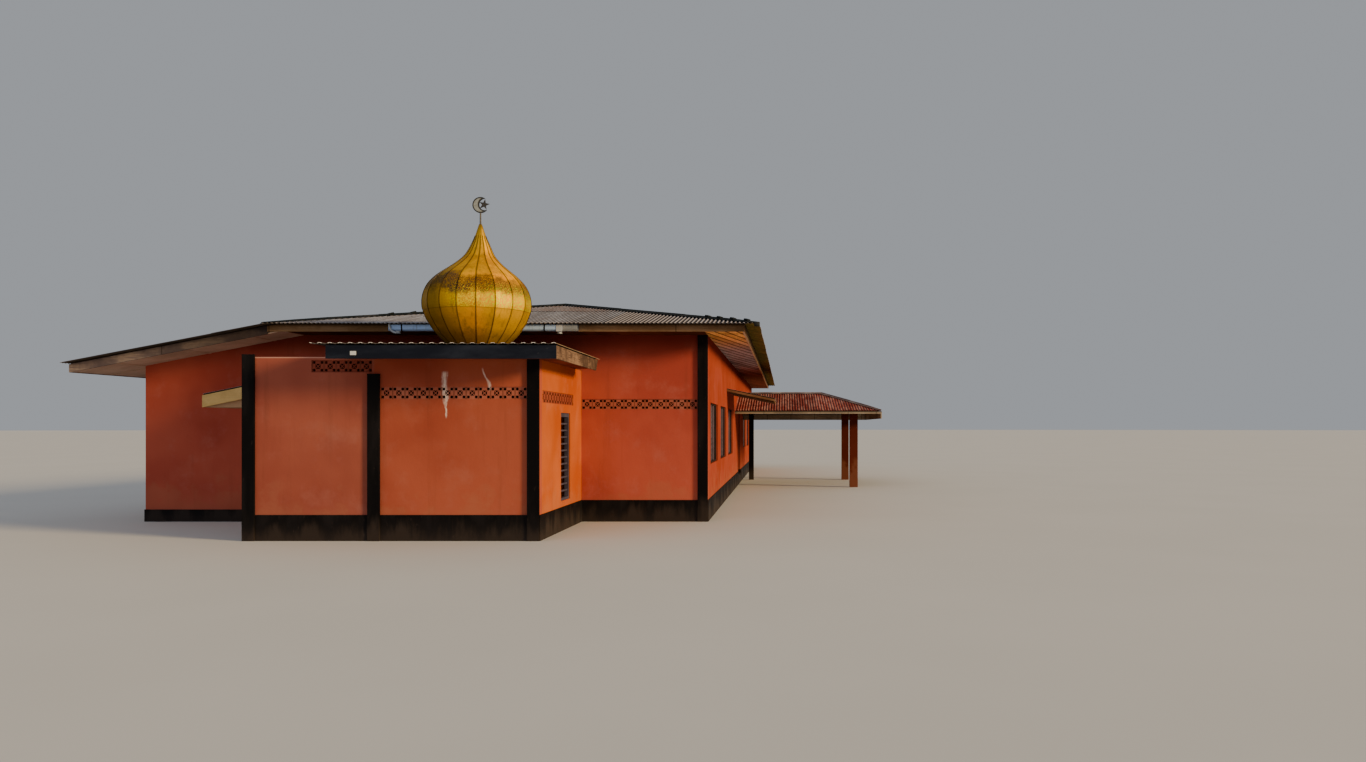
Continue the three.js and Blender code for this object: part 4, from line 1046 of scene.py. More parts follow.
@dataclass(frozen=True)
class Capping:
    """A folded capping along a ridge or a hip, in lapped lengths."""

    half: float = 0.12
    roll: float = 0.05
    crown: float = 0.024
    length: float = 1.8
    gauge: float = 0.002
    columns: int = 16

    def lay(self, shape: Shape, start: PlanPoint, end: PlanPoint, height: Height) -> None:
        """Lays lengths of capping along a line.

        Args:
            shape: the mesh that takes them.
            start: the line's lower end in plan.
            end: its upper end.
            height: the roof's height above a point of the plan.
        """
        run = Vector((end[0] - start[0], end[1] - start[1], 0.0))
        along = run.normalized()
        across = Vector((along.y, -along.x, 0.0))
        pieces = max(1, round(run.length / self.length))
        for index in range(pieces):
            for vert in shape.grid(self.columns, 4):
                share = vert.co.y + 0.5
                aside = vert.co.x * 2.0 * self.half
                travel = min(run.length, (index + share * 1.04) * run.length / pieces)
                point = Vector((*start, 0.0)) + along * travel + across * aside
                roll = math.cos(math.pi / 2.0 * min(1.0, abs(aside) / self.roll)) ** 1.5
                rise = self.crown * roll * min(1.0, 0.15 + travel / 0.9)
                point.z = height(point.x, point.y) + 0.004 + rise + 0.004 * (1.0 - share)
                vert.co = point

    def flaps(self, shape: Shape, start: PlanPoint, end: PlanPoint, height: Height,
              places: Sequence[float]) -> None:
        """Puts bent-up metal flaps on the capping.

        Args:
            shape: the mesh that takes them.
            start: the line's lower end in plan.
            end: its upper end.
            height: the roof's height above a point of the plan.
            places: the distance of each flap from the start, in plan.
        """
        along = Vector((end[0] - start[0], end[1] - start[1], 0.0)).normalized()
        turn = along.to_track_quat("Y", "Z").to_matrix().to_4x4()
        for place in places:
            foot = Vector((*start, 0.0)) + along * place
            foot.z = height(foot.x, foot.y) + self.crown
            matrix = Matrix.Translation(foot) @ turn @ Matrix.Rotation(math.radians(16.0), 4, "X")
            shape.block((-0.045, -0.05, -0.012), (0.045, 0.05, 0.020), 0.008, matrix)


@dataclass
class HallRoof:
    """The hipped roof of the hall, whose left plane runs on lower."""

    palette: Palette
    eave_z: float = 3.58
    eave_y: float = 13.24
    right: float = 6.19
    left: float = -6.08
    ridge_x: float = 1.83
    pitch: float = 0.1938
    board_y: float = 13.06
    board_right: float = 5.909
    board_gauge: float = 0.03
    wall_x: float = 5.2
    wall_y: float = 12.25
    soffit: Tuple[float, float] = (3.452, 3.468)
    soffit_board: float = 0.2
    join_z: float = 3.45
    ceiling: float = 0.18
    strip: Tuple[float, float] = (0.02, 0.008)
    strip_step: float = 1.2
    overlap: float = 0.08
    wave: Corrugation = field(default_factory=Corrugation)
    coarse: Corrugation = field(default_factory=lambda: Corrugation(facets=6))
    capping: Capping = field(default_factory=Capping)

    def __post_init__(self) -> None:
        """Works out the ridge and the foot of the left hips."""
        self.run = self.right - self.ridge_x
        self.ridge_z = self.eave_z + self.pitch * self.run
        self.foot_x = self.ridge_x - self.run
        self.ridge_y = self.eave_y - self.run
        self.left_z = self.ridge_z - self.pitch * (self.ridge_x - self.left)

    def height(self, x: float, y: float) -> float:
        """Returns the height of the roof above a point of the plan."""
        return min(self.eave_z + self.pitch * (self.eave_y - abs(y)),
                   self.eave_z + self.pitch * (self.right - x),
                   self.ridge_z - self.pitch * (self.ridge_x - x))

    def hips(self) -> Dict[str, Tuple[PlanPoint, PlanPoint]]:
        """Returns the plan line of each hip, from its foot up."""
        front, rear = (self.ridge_x, -self.ridge_y), (self.ridge_x, self.ridge_y)
        return {
            "front_right": ((self.right, -self.eave_y), front),
            "front_left": ((self.foot_x, -self.eave_y), front),
            "rear_right": ((self.right, self.eave_y), rear),
            "rear_left": ((self.foot_x, self.eave_y), rear),
        }

    def slopes(self) -> Dict[str, Slope]:
        """Returns the four planes with the cuts along their hips."""
        hips = self.hips()
        tilt = self.pitch
        short = self.run * math.hypot(1.0, tilt)
        long = (self.ridge_x - self.left) * math.hypot(1.0, tilt)
        front_inside, rear_inside = (self.ridge_x, -self.eave_y), (self.ridge_x, self.eave_y)
        right_inside, left_inside = (self.right, 0.0), (self.left, 0.0)

        def cuts(names: Sequence[str], inside: PlanPoint) -> Tuple[Cut, ...]:
            """Returns the cuts along some hips that keep an inside point."""
            return tuple(Cut(hips[name][0], hips[name][1], inside) for name in names)

        return {
            "front": Slope((self.foot_x, -self.eave_y, self.eave_z), (1, 0, 0), (0, 1, tilt),
                           self.right - self.foot_x, short, cuts(("front_right", "front_left"), front_inside)),
            "right": Slope((self.right, -self.eave_y, self.eave_z), (0, 1, 0), (-1, 0, tilt),
                           2.0 * self.eave_y, short, cuts(("front_right", "rear_right"), right_inside)),
            "rear": Slope((self.right, self.eave_y, self.eave_z), (-1, 0, 0), (0, -1, tilt),
                          self.right - self.foot_x, short, cuts(("rear_right", "rear_left"), rear_inside)),
            "left": Slope((self.left, self.eave_y - 0.002, self.left_z), (0, -1, 0), (1, 0, tilt),
                          2.0 * self.eave_y - 0.004, long, cuts(("front_left", "rear_left"), left_inside)),
        }

    def build(self) -> None:
        """Builds the sheets, the cappings, the soffits and the eave battens."""
        screws = Shape()
        # painted shade on the undersides of the right and left sheets
        underside_shades = {"right": (0.20, 0.145, 0.034), "left": (0.085, 0.062, 0.045)}
        for seed, (name, slope) in enumerate(self.slopes().items()):
            starts, rows, eave = (0.0, 2.62), (0.12, 1.35, 2.66, 3.6), self.eave_z
            if name == "left":
                starts, rows, eave = (0.0, 2.70, 5.38), (0.12, 1.35, 2.66, 4.0, 5.42, 6.8), self.left_z
            ends = [start + self.overlap for start in starts[1:]] + [slope.length]
            wave = self.wave if name in ("front", "right") else self.coarse
            across = Axis.X if name in ("front", "rear") else Axis.Y
            batch = (3.45, (0.40, 0.345, 0.34)) if name == "front" else None
            finish = RoofSheet(f"roof_sheet_{name}", across, slope.corner[across.value],
                               (Axis.Z, eave - 0.008, 0.012), belly=underside_shades.get(name, RoofSheet.belly), batch=batch)
            cover(f"roof_sheets_{name}", f"roof_{name}", self.palette.get(finish), "sheet", slope, wave,
                  float(seed), list(zip(starts, ends)))
            drive_screws(screws, slope, wave, rows)
        screws.publish("roof_screws", self.palette.get(CappingMetal("capping_metal")), "capping")
        self.build_cappings()
        self.board_soffits()
        self.strip_soffits()
        self.build_battens()

    def build_cappings(self) -> None:
        """Builds the ridge and hip cappings with their bent-up flaps."""
        shape = Shape()
        hips = self.hips()
        for start, end in hips.values():
            self.capping.lay(shape, start, end, self.height)
        self.capping.lay(shape, (self.ridge_x, -self.ridge_y - 0.15), (self.ridge_x, self.ridge_y + 0.15),
                         self.height)
        for sign in (-1.0, 1.0):
            shape.cut((0.0, sign * (self.eave_y - 0.004), 0.0), (0.0, sign, 0.0))
        shape.cut((self.right - 0.004, 0.0, 0.0), (1.0, 0.0, 0.0))
        shape.thicken(self.capping.gauge)
        self.capping.flaps(shape, *hips["front_right"], self.height, (0.33, 0.70, 1.06, 1.39))
        self.capping.flaps(shape, *hips["front_left"], self.height, (2.29, 2.73))
        shape.block((self.right - 0.10, -self.eave_y + 0.002, self.eave_z - 0.06),
                    (self.right - 0.002, -self.eave_y + 0.10, self.eave_z + 0.012), 0.01)
        shape.publish("roof_cappings", self.palette.get(CappingMetal("capping_metal")), "capping",
                      ("ridge_caps",), 50.0)

    def eave_strip(self, sign: float) -> Tuple[float, float]:
        """Returns the y range of the soffit at the front, for -1, or the rear, for 1."""
        low, high = sorted((sign * self.wall_y, sign * (self.board_y - self.board_gauge)))
        return low, high

    def board_soffits(self) -> None:
        """Boards the level soffit at the right and at both ends."""
        low, high = self.soffit
        width, gap = self.soffit_board, 0.002
        inner_y, inner_right = self.board_y - self.board_gauge, self.board_right - self.board_gauge
        join_x = self.ridge_x - (self.ridge_z - self.ceiling - self.join_z) / self.pitch
        side, ends = Shape(), Shape()
        side.block((self.wall_x, -inner_y, low - gap), (inner_right, inner_y, high - gap))
        for sign in (-1.0, 1.0):
            y0, y1 = self.eave_strip(sign)
            for index in range(math.ceil((self.wall_x - join_x) / width)):
                x = self.wall_x - (index + 1) * width
                drop = 0.004 * chance(index, sign)
                ends.block((max(join_x, x + gap), y0, low - drop), (x + width - gap, y1, high - drop), gap)
        finish = SoffitBoards("soffit_boards_right", self.wall_x, skew=0.2035)
        side.publish("soffit_boards_right", self.palette.get(finish), "soffit", ("soffit_level",))
        # painted shade: a darker copy of the soffit paint for the boards under the front and rear eaves
        finish = SoffitBoards("soffit_boards_ends", self.wall_x, warm=(0.10, 0.028, 0.010), grey=(0.16, 0.10, 0.08))
        ends.publish("soffit_boards_ends", self.palette.get(finish), "soffit")

    def strip_soffits(self) -> None:
        """Puts cover strips under the sloping soffit at the left."""
        strips = Shape()
        shear = Matrix(((1, 0, 0, 0), (0, 1, 0, 0), (self.pitch, 0, 1, 0), (0, 0, 0, 1)))
        base = self.ridge_z - self.pitch * self.ridge_x - self.ceiling
        half, thick = self.strip
        for sign in (-1.0, 1.0):
            y0, y1 = self.eave_strip(sign)
            for x in (-5.2, -4.0, -2.8):
                strips.block((x - half, y0, base - thick), (x + half, y1, base), 0.002, shear)
        for index in range(-10, 11):
            y = index * self.strip_step
            strips.block((-6.008, y - half, base - thick), (-5.202, y + half, base), 0.002, shear)
        finish = Board("soffit_strip_paint", Axis.Y, (0.50, 0.34, 0.24), (0.60, 0.44, 0.33), wear=0.4)
        strips.publish("soffit_left_strips", self.palette.get(finish), "soffit")

    def build_battens(self) -> None:
        """Lays the battens that close the gap between the eave boards and the sheets."""
        shape = Shape()
        width, thick, under, soft = 0.05, 0.017, 0.021, 0.002
        z1 = self.height(self.board_right, 0.0) - under
        shape.block((self.board_right - width, -self.board_y + width, z1 - thick),
                    (self.board_right, self.board_y - width, z1), soft)
        z1 = self.height(self.ridge_x, self.board_y) - under
        for sign in (-1.0, 1.0):
            y0, y1 = sorted((sign * self.board_y, sign * (self.board_y - width)))
            shape.block((self.foot_x, y0, z1 - thick), (self.board_right, y1, z1), soft)
        finish = Board("batten_wood", Axis.Y, (0.03, 0.018, 0.010), (0.06, 0.04, 0.025))
        shape.publish("eave_battens", self.palette.get(finish), "board_dark")


@dataclass
class Gutter:
    """The pale length of gutter on the front eave, with its brackets and outlets."""

    palette: Palette
    left: float = -0.34
    right: float = 2.98
    back: float = -13.062
    width: float = 0.116
    low: float = 3.441
    high: float = 3.562
    gauge: float = 0.003
    outlets: Tuple[float, float] = (-0.190, 2.66)
    straps: Tuple[float, ...] = (-0.11, 1.35, 2.40)
    strap: float = 0.011
    end: float = 0.004
    pipe: float = 0.040
    elbow: Tuple[PlanPoint, ...] = (
        (-0.318, 3.556), (-0.314, 3.505), (-0.292, 3.456), (-0.250, 3.418), (-0.190, 3.400),
    )

    def build(self) -> None:
        """Builds the trough, its ends, brackets and outlets."""
        front = self.back - self.width
        shape = Shape()
        chain = [(self.left, self.back, self.high), (self.left, self.back, self.low + 0.012),
                 (self.left, self.back - 0.012, self.low), (self.left, front + 0.022, self.low),
                 (self.left, front + 0.004, self.low + 0.018), (self.left, front, self.low + 0.04),
                 (self.left, front, self.high - 0.012), (self.left, front + 0.006, self.high),
                 (self.left, front + 0.014, self.high - 0.004)]
        shape.fold(chain, (self.right - self.left, 0.0, 0.0))
        shape.outwards()
        shape.thicken(self.gauge)
        for x in (self.left, self.right - self.end):
            shape.block((x, front + 0.003, self.low + 0.002), (x + self.end, self.back, self.high - 0.006), 0.001)
        straps = Shape()
        for x in self.straps:
            x0, x1 = x - self.strap, x + self.strap
            straps.block((x0, front - 0.004, self.low - 0.003), (x1, front + 0.001, self.high - 0.002), 0.001)
            straps.block((x0, front - 0.004, self.low - 0.004), (x1, self.back, self.low + 0.001), 0.001)
        straps.publish("gutter_straps", self.palette.get(DarkPaint("strap_paint", dusty_below=0.0)), "gutter")
        shape.publish("gutter_trough", self.palette.get(GutterPaint("gutter_paint")), "gutter", ("gutter",), 35.0)
        self.build_outlets(front)

    def build_outlets(self, front: float) -> None:
        """Builds the outlets, the left one with its elbow, the right one with its box and the end plate.

        Args:
            front: the y of the gutter's front.
        """
        shape, plate = Shape(), Shape()
        middle = self.back - self.width / 2.0
        foot = self.low - 0.045
        for x in self.outlets:
            shape.rod((x, middle, foot), (x, middle, self.low + 0.004), self.pipe, 20)
            shape.rod((x, middle, foot), (x, middle, foot + 0.015), self.pipe + 0.004, 20)
        for (x0, z0), (x1, z1) in zip(self.elbow, self.elbow[1:]):
            shape.rod((x0, front - 0.018, z0), (x1, front - 0.018, z1), 0.017, 12)
        x, soft = self.outlets[1], 0.003
        shape.block((x - 0.055, front - 0.006, self.low - 0.012), (x + 0.055, front + 0.004, self.high + 0.004), soft)
        plate.block((x + 0.060, front - 0.004, self.low - 0.004), (x + 0.312, front + 0.002, self.high - 0.012), soft)
        finish = GutterPaint("end_plate", (0.22, 0.24, 0.27), (0.36, 0.36, 0.37), (0.10, 0.09, 0.08), foot=3.46)
        plate.publish("gutter_end_plate", self.palette.get(finish), "gutter")
        finish = GutterPaint("outlet_plastic", (0.44, 0.47, 0.52), (0.52, 0.52, 0.53), (0.20, 0.19, 0.19), foot=3.38)
        shape.publish("gutter_outlets", self.palette.get(finish), "gutter", (), 35.0)


@dataclass
class SideWindows:
    """Louvre windows in a side wall of the hall."""

    palette: Palette
    side: Side
    pitch: float = 3.0
    width: float = 2.1
    sill: float = 1.04
    head: float = 2.22
    count: int = 8
    skipped: Tuple[int, ...] = ()
    outer: float = 5.165
    inner: float = 5.095
    bar: float = 0.035
    mullion: float = 0.055
    bays: int = 3
    blades: int = 10
    blade: float = 0.003
    set_back: float = 0.018
    tilt: float = 10.0

    def across(self, near: float, far: float) -> Tuple[float, float]:
        """Returns two distances from the middle as sorted x values on this side."""
        low, high = sorted((near * self.side.value, far * self.side.value))
        return low, high

    def build(self) -> None:
        """Builds the frames and the glass blades."""
        frames, mullions, glass = Shape(), Shape(), Shape()
        x0, x1 = self.across(self.inner, self.outer)
        for index in range(self.count):
            if index in self.skipped:
                continue
            middle = (index - (self.count - 1) / 2.0) * self.pitch
            y0, y1 = middle - self.width / 2.0, middle + self.width / 2.0
            foot, crown = self.sill + self.bar, self.head - self.bar
            for z0, z1 in ((self.sill, foot), (crown, self.head)):
                frames.block((x0, y0, z0), (x1, y1, z1), 0.004)
            for low, high in ((y0, y0 + self.bar), (y1 - self.bar, y1)):
                frames.block((x0, low, foot), (x1, high, crown), 0.004)
            clear = (self.width - 2.0 * self.bar - (self.bays - 1) * self.mullion) / self.bays
            for bay in range(self.bays):
                start = y0 + self.bar + bay * (clear + self.mullion)
                if bay > 0:
                    mullions.block((x0, start - self.mullion, foot), (x1, start, crown), 0.004)
                self.hang_blades(glass, start, start + clear)
        word = self.side.name.lower()
        # painted shade: the frames are near-black for the shade in the reveals; the mullions keep the grey-lilac
        # paint
        finish = FramePaint("shaded_frame_paint", (0.030, 0.020, 0.020), (0.012, 0.008, 0.008))
        frames.publish(f"{word}_window_frames", self.palette.get(finish), "frame")
        finish = FramePaint("mullion_paint", (0.120, 0.090, 0.118), (0.06, 0.045, 0.05))
        mullions.publish(f"{word}_window_mullions", self.palette.get(finish), "frame")
        glass.publish(f"{word}_window_louvres", self.palette.get(DarkGlass("louvre_glass")), "glass",
                      (f"{word}_windows",))

    def hang_blades(self, shape: Shape, y0: float, y1: float) -> None:
        """Hangs the tilted blades of one bay."""
        step = (self.head - self.sill - 2.0 * self.bar) / self.blades
        middle = (self.inner + self.set_back) * self.side.value
        tilt = Matrix.Rotation(math.radians(self.tilt * self.side.value), 4, "Y")
        half = step * 0.56
        for index in range(self.blades):
            z = self.sill + self.bar + (index + 0.5) * step
            matrix = Matrix.Translation((middle, 0.0, z)) @ tilt
            shape.block((-self.blade, y0, -half), (self.blade, y1, half), 0.0, matrix)


@dataclass
class PorchRoof:
    """The flat porch roof: its sheets, its boards and a bare plate on the front board."""

    palette: Palette
    left: float = -0.286
    right: float = 3.32
    front: float = -16.215
    rear: float = -12.9
    wall: float = -12.25
    room_right: float = 2.862
    top: float = 2.986
    board_x: Tuple[float, float] = (3.271, 3.296)
    board_z: Tuple[float, float] = (2.747, 2.943)
    board_front: float = -16.16
    plate: Tuple[Point, Point] = ((0.296, -16.194, 2.798), (0.384, -16.190, 2.856))
    plate_screws: Tuple[float, float] = (0.306, 0.374)
    wave: Corrugation = field(default_factory=lambda: Corrugation(0.148, 0.020, 0.0065, 10, 1.036))

    def build(self) -> None:
        """Builds the sheets and boards."""
        shape = Shape()
        long = self.rear - self.front
        main = Slope((self.left, self.front, self.top), (1, 0, 0), (0, 1, 0), self.right - self.left, long)
        lay_sheets(shape, main, self.wave, [(0.0, 1.72), (1.64, long)], 5.0)
        back = Slope((self.left, self.rear - 0.1, self.top + 0.003), (1, 0, 0), (0, 1, 0),
                     self.room_right - self.left, self.wall - self.rear + 0.1)
        lay_sheets(shape, back, self.wave, [(0.0, back.length)], 6.0)
        shape.thicken(self.wave.gauge)
        finish = RoofSheet("porch_sheet", Axis.X, self.left, (Axis.Y, self.front, 0.02), self.wave.pitch,
                           grey=(0.13, 0.115, 0.11), pale=(0.26, 0.22, 0.20), rusty=0.5, lap_height=9.0,
                           sheet=1.036, trough_shade=(0.15, 0.26, 0.95), tips=(1.0, 0.93, 0.88), verge=3.298)
        shape.publish("porch_sheets", self.palette.get(finish), "sheet", ("porch_roof",), SHEET_ANGLE)
        self.build_side_board()
        self.build_plate()

    def build_side_board(self) -> None:
        """Builds the bare side board, whose rear end is cut on a slant."""
        shape = Shape()
        (x0, x1), (z0, z1) = self.board_x, self.board_z
        shape.block((x0, self.board_front, z0), (x1, self.rear, z1))
        shape.cut((x0, self.rear - 0.02, z1), (0.0, 1.0, -0.9), closed=True)
        shape.soften([edge for edge in shape.bm.edges if edge.is_manifold], 0.003)
        finish = Board("bare_side_board", Axis.Y, (0.075, 0.046, 0.034), (0.235, 0.145, 0.098),
                       (0.018, 0.012, 0.010), wear=0.95)
        shape.publish("porch_side_board", self.palette.get(finish), "board_dark", ("porch_fascia_right",))

    def build_plate(self) -> None:
        """Builds the small bare plate on the front board, with its two screws."""
        shape = Shape()
        (x0, y0, z0), (x1, y1, z1) = self.plate
        shape.block((x0, y0, z0), (x1, y1, z1), 0.001)
        for x in self.plate_screws:
            middle = (z0 + z1) / 2.0
            shape.rod((x, y0 - 0.003, middle), (x, y0 + 0.001, middle), 0.004, 8)
        material = self.palette.get(GutterPaint("plate_paint", (0.62, 0.62, 0.60), foot=2.7))
        shape.publish("porch_plate", material, "gutter")


@dataclass
class Dome:
    """The onion dome of flat gores, with its seams and finial."""

    palette: Palette
    centre: PlanPoint = (1.586, -14.35)
    tip_x: float = 1.636
    lean_from: float = 4.15
    lean_to: float = 4.75
    turn: float = -0.082
    gores: int = 18
    shell: float = 0.006
    joint: float = 3.63
    seam: Tuple[float, float, float] = (0.006, 0.007, 4.95)
    rod: Tuple[float, float, float] = (5.060, 5.078, 5.262)
    outline: Tuple[PlanPoint, ...] = (
        (0.345, 2.960), (0.360, 2.983), (0.540, 3.150), (0.633, 3.242), (0.695, 3.320), (0.750, 3.406),
        (0.800, 3.490), (0.833, 3.570), (0.858, 3.655), (0.866, 3.740), (0.862, 3.820), (0.847, 3.898),
        (0.818, 3.980), (0.775, 4.062), (0.708, 4.144), (0.622, 4.226), (0.515, 4.308), (0.407, 4.390),
        (0.314, 4.472), (0.240, 4.554), (0.193, 4.636), (0.155, 4.718), (0.118, 4.800), (0.086, 4.882),
        (0.026, 5.070),
    )

    def curve(self) -> List[Vector]:
        """Returns the outline as a smooth chain at the first seam, which faces the viewer."""
        points = [Vector(point) for point in self.outline]
        ends = [points[0]] + points + [points[-1]]
        chain: List[Vector] = []
        for p0, p1, p2, p3 in zip(ends, ends[1:], ends[2:], ends[3:]):
            for t in (0.0, 0.5):
                chain.append(0.5 * (2.0 * p1 + (p2 - p0) * t + (2.0 * p0 - 5.0 * p1 + 4.0 * p2 - p3) * t ** 2
                                    + (3.0 * p1 - p0 - 3.0 * p2 + p3) * t ** 3))
        chain.append(points[-1])
        placed = []
        for point in chain:
            radius = point.x - (0.004 if point.y < self.joint else 0.0)
            placed.append(Vector((self.centre[0], self.centre[1] - radius, point.y)))
        return placed

    def build(self) -> None:
        """Builds the shell, its seams and the finial."""
        middle = (*self.centre, 0.0)
        chain = self.curve()
        shell = Shape()
        verts = [shell.bm.verts.new(point) for point in chain]
        verts.append(shell.bm.verts.new((*self.centre, chain[-1].z + 0.004)))
        edges = [shell.bm.edges.new(pair) for pair in zip(verts, verts[1:])]
        bmesh.ops.spin(shell.bm, geom=verts + edges, axis=(0, 0, 1), cent=middle, angle=2.0 * math.pi,
                       steps=self.gores, use_merge=True)
        self.lean(shell)
        shell.outwards()
        shell.thicken(self.shell)
        bend = (self.tip_x - self.centre[0], self.lean_from, self.lean_to)
        material = self.palette.get(GoldGores("gold_gores", self.centre, bend, self.turn, self.gores, self.joint))
        dome = shell.publish("dome_gores", material, "gold", ("dome",), 14.0)
        self.sharpen(dome)
        self.build_seams(chain)
        self.build_finial()

    def lean(self, shape: Shape) -> None:
        """Turns the gores into place and leans the neck to the right.

        Args:
            shape: the mesh of the shell or of its seams.
        """
        bmesh.ops.rotate(shape.bm, cent=(*self.centre, 0.0), verts=shape.bm.verts[:],
                         matrix=Matrix.Rotation(self.turn, 3, "Z"))
        for vert in shape.bm.verts:
            share = min(1.0, max(0.0, (vert.co.z - self.lean_from) / (self.lean_to - self.lean_from)))
            vert.co.x += (self.tip_x - self.centre[0]) * share * share * (3.0 - 2.0 * share)

    def sharpen(self, dome: bpy.types.Object) -> None:
        """Marks the seams sharp, so that each gore is flat across and smooth along its height."""
        mesh = dome.data
        for edge in mesh.edges:
            first, second = (mesh.vertices[index].co for index in edge.vertices)
            edge.use_edge_sharp = abs(first.z - second.z) > 1e-4

    def build_seams(self, chain: Sequence[Vector]) -> None:
        """Builds the folded seams between the gores."""
        shape = Shape()
        half, width, top = self.seam
        rib = [point for point in chain if point.z < top]
        low = [shape.bm.verts.new(point + Vector((0.0, half, 0.0))) for point in rib]
        high = [shape.bm.verts.new(point - Vector((0.0, half, 0.0))) for point in rib]
        for index in range(len(rib) - 1):
            shape.bm.faces.new((low[index], high[index], high[index + 1], low[index + 1]))
        bmesh.ops.solidify(shape.bm, geom=shape.bm.faces[:], thickness=width)
        bmesh.ops.translate(shape.bm, vec=(width / 2.0, 0.0, 0.0), verts=shape.bm.verts[:])
        bmesh.ops.recalc_face_normals(shape.bm, faces=shape.bm.faces[:])
        whole = shape.bm.verts[:] + shape.bm.edges[:] + shape.bm.faces[:]
        for index in range(1, self.gores):
            copy = bmesh.ops.duplicate(shape.bm, geom=whole)["geom"]
            turned = [item for item in copy if isinstance(item, bmesh.types.BMVert)]
            bmesh.ops.rotate(shape.bm, cent=(*self.centre, 0.0), verts=turned,
                             matrix=Matrix.Rotation(2.0 * math.pi * index / self.gores, 3, "Z"))
        self.lean(shape)
        finish = PlainMetal("seam_metal", (0.075, 0.036, 0.008), metallic=0.3)
        shape.publish("dome_seams", self.palette.get(finish), "gold")

    def build_finial(self) -> None:
        """Builds the rod with its collar."""
        shape = Shape()
        x, y = self.tip_x, self.centre[1]
        foot, collar, top = self.rod
        shape.rod((x, y, foot), (x, y, top), 0.0150, 16, 0.0125)
        shape.rod((x, y, foot), (x, y, collar), 0.028, 16, 0.019)
        shape.publish("finial_stem", self.palette.get(PlainMetal("rod_metal")), "steel", ("finial_rod",), 40.0)


@dataclass
class LeanTo:
    """A small roof of one slope against a wall."""

    palette: Palette
    wall_x: float
    outer_x: float
    front: float
    rear: float
    wall_z: float
    slope: float

    def lay_roof(self, word: str, rusty: float, seed: float) -> float:
        """Lays the sheets.

        Args:
            word: the first word of their names.
            rusty: how rusty they are.
            seed: sets their random part.

        Returns:
            The height of the outer edge.
        """
        run = abs(self.outer_x - self.wall_x)
        out = math.copysign(1.0, self.outer_x - self.wall_x)
        start = self.front if out > 0.0 else self.rear
        low = self.wall_z - run * self.slope
        plane = Slope((self.outer_x, start, low), (0.0, out, 0.0), (-out, 0.0, self.slope),
                      self.rear - self.front, run * math.hypot(1.0, self.slope))
        finish = RoofSheet(f"{word}_sheet", Axis.Y, start, (Axis.Z, low - 0.01, 0.01), lap_height=9.0, rusty=rusty)
        cover(f"{word}_sheets", f"{word}_sheet", self.palette.get(finish), "sheet", plane, Corrugation(), seed)
        return low


@dataclass
class Canopy(LeanTo):
    """The small lean-to over the left side of the front room."""

    wall_x: float = -1.69
    outer_x: float = -2.64
    front: float = -14.85
    rear: float = -12.95
    wall_z: float = 2.48
    slope: float = 0.207
    drop: float = 0.22

    def build(self) -> None:
        """Builds the sheets and the pale lining under them."""
        floor = self.lay_roof("canopy", 0.5, 8.0) - self.drop
        lining = Shape()
        lining.block((self.outer_x + 0.03, self.front + 0.045, floor), (self.wall_x, self.rear, self.wall_z))
        lining.cut((self.wall_x, 0.0, self.wall_z - 0.031), (-self.slope, 0.0, 1.0), closed=True)
        finish = Board("lining_paint", Axis.X, (0.36, 0.22, 0.13), (0.44, 0.31, 0.2), wear=0.3)
        lining.publish("canopy_lining", self.palette.get(finish), "board_pale")


@dataclass
class Awning(LeanTo):
    """The small lean-to on the hall's right wall."""

    wall_x: float = 5.2
    outer_x: float = 6.384
    front: float = -6.19
    rear: float = -2.85
    wall_z: float = 2.708
    slope: float = 0.2085
    depth: float = 0.055
    width: float = 0.035

    def build(self) -> None:
        """Builds the sheets and the rafters under them."""
        self.lay_roof("awning", 0.6, 9.0)
        rafters = Shape()
        shear = Matrix(((1, 0, 0, 0), (0, 1, 0, 0), (-self.slope, 0, 1, 0), (0, 0, 0, 1)))
        top = self.wall_z + self.slope * self.wall_x - 0.028
        for y in (self.front, (self.front + self.rear) / 2.0, self.rear - self.width):
            rafters.block((self.wall_x, y, top - self.depth), (self.outer_x - 0.01, y + self.width, top), 0.003,
                          shear)
        low = top - self.slope * self.outer_x
        rafters.block((self.outer_x - 0.05, self.front + self.width, low - 0.035),
                      (self.outer_x - 0.012, self.rear - self.width, low + 0.006), 0.003)
        finish = Board("rafter_wood", Axis.X, (0.17, 0.085, 0.045), (0.28, 0.17, 0.11), wear=0.7)
        rafters.publish("awning_rafters", self.palette.get(finish), "board_tan", ("awning_board",))


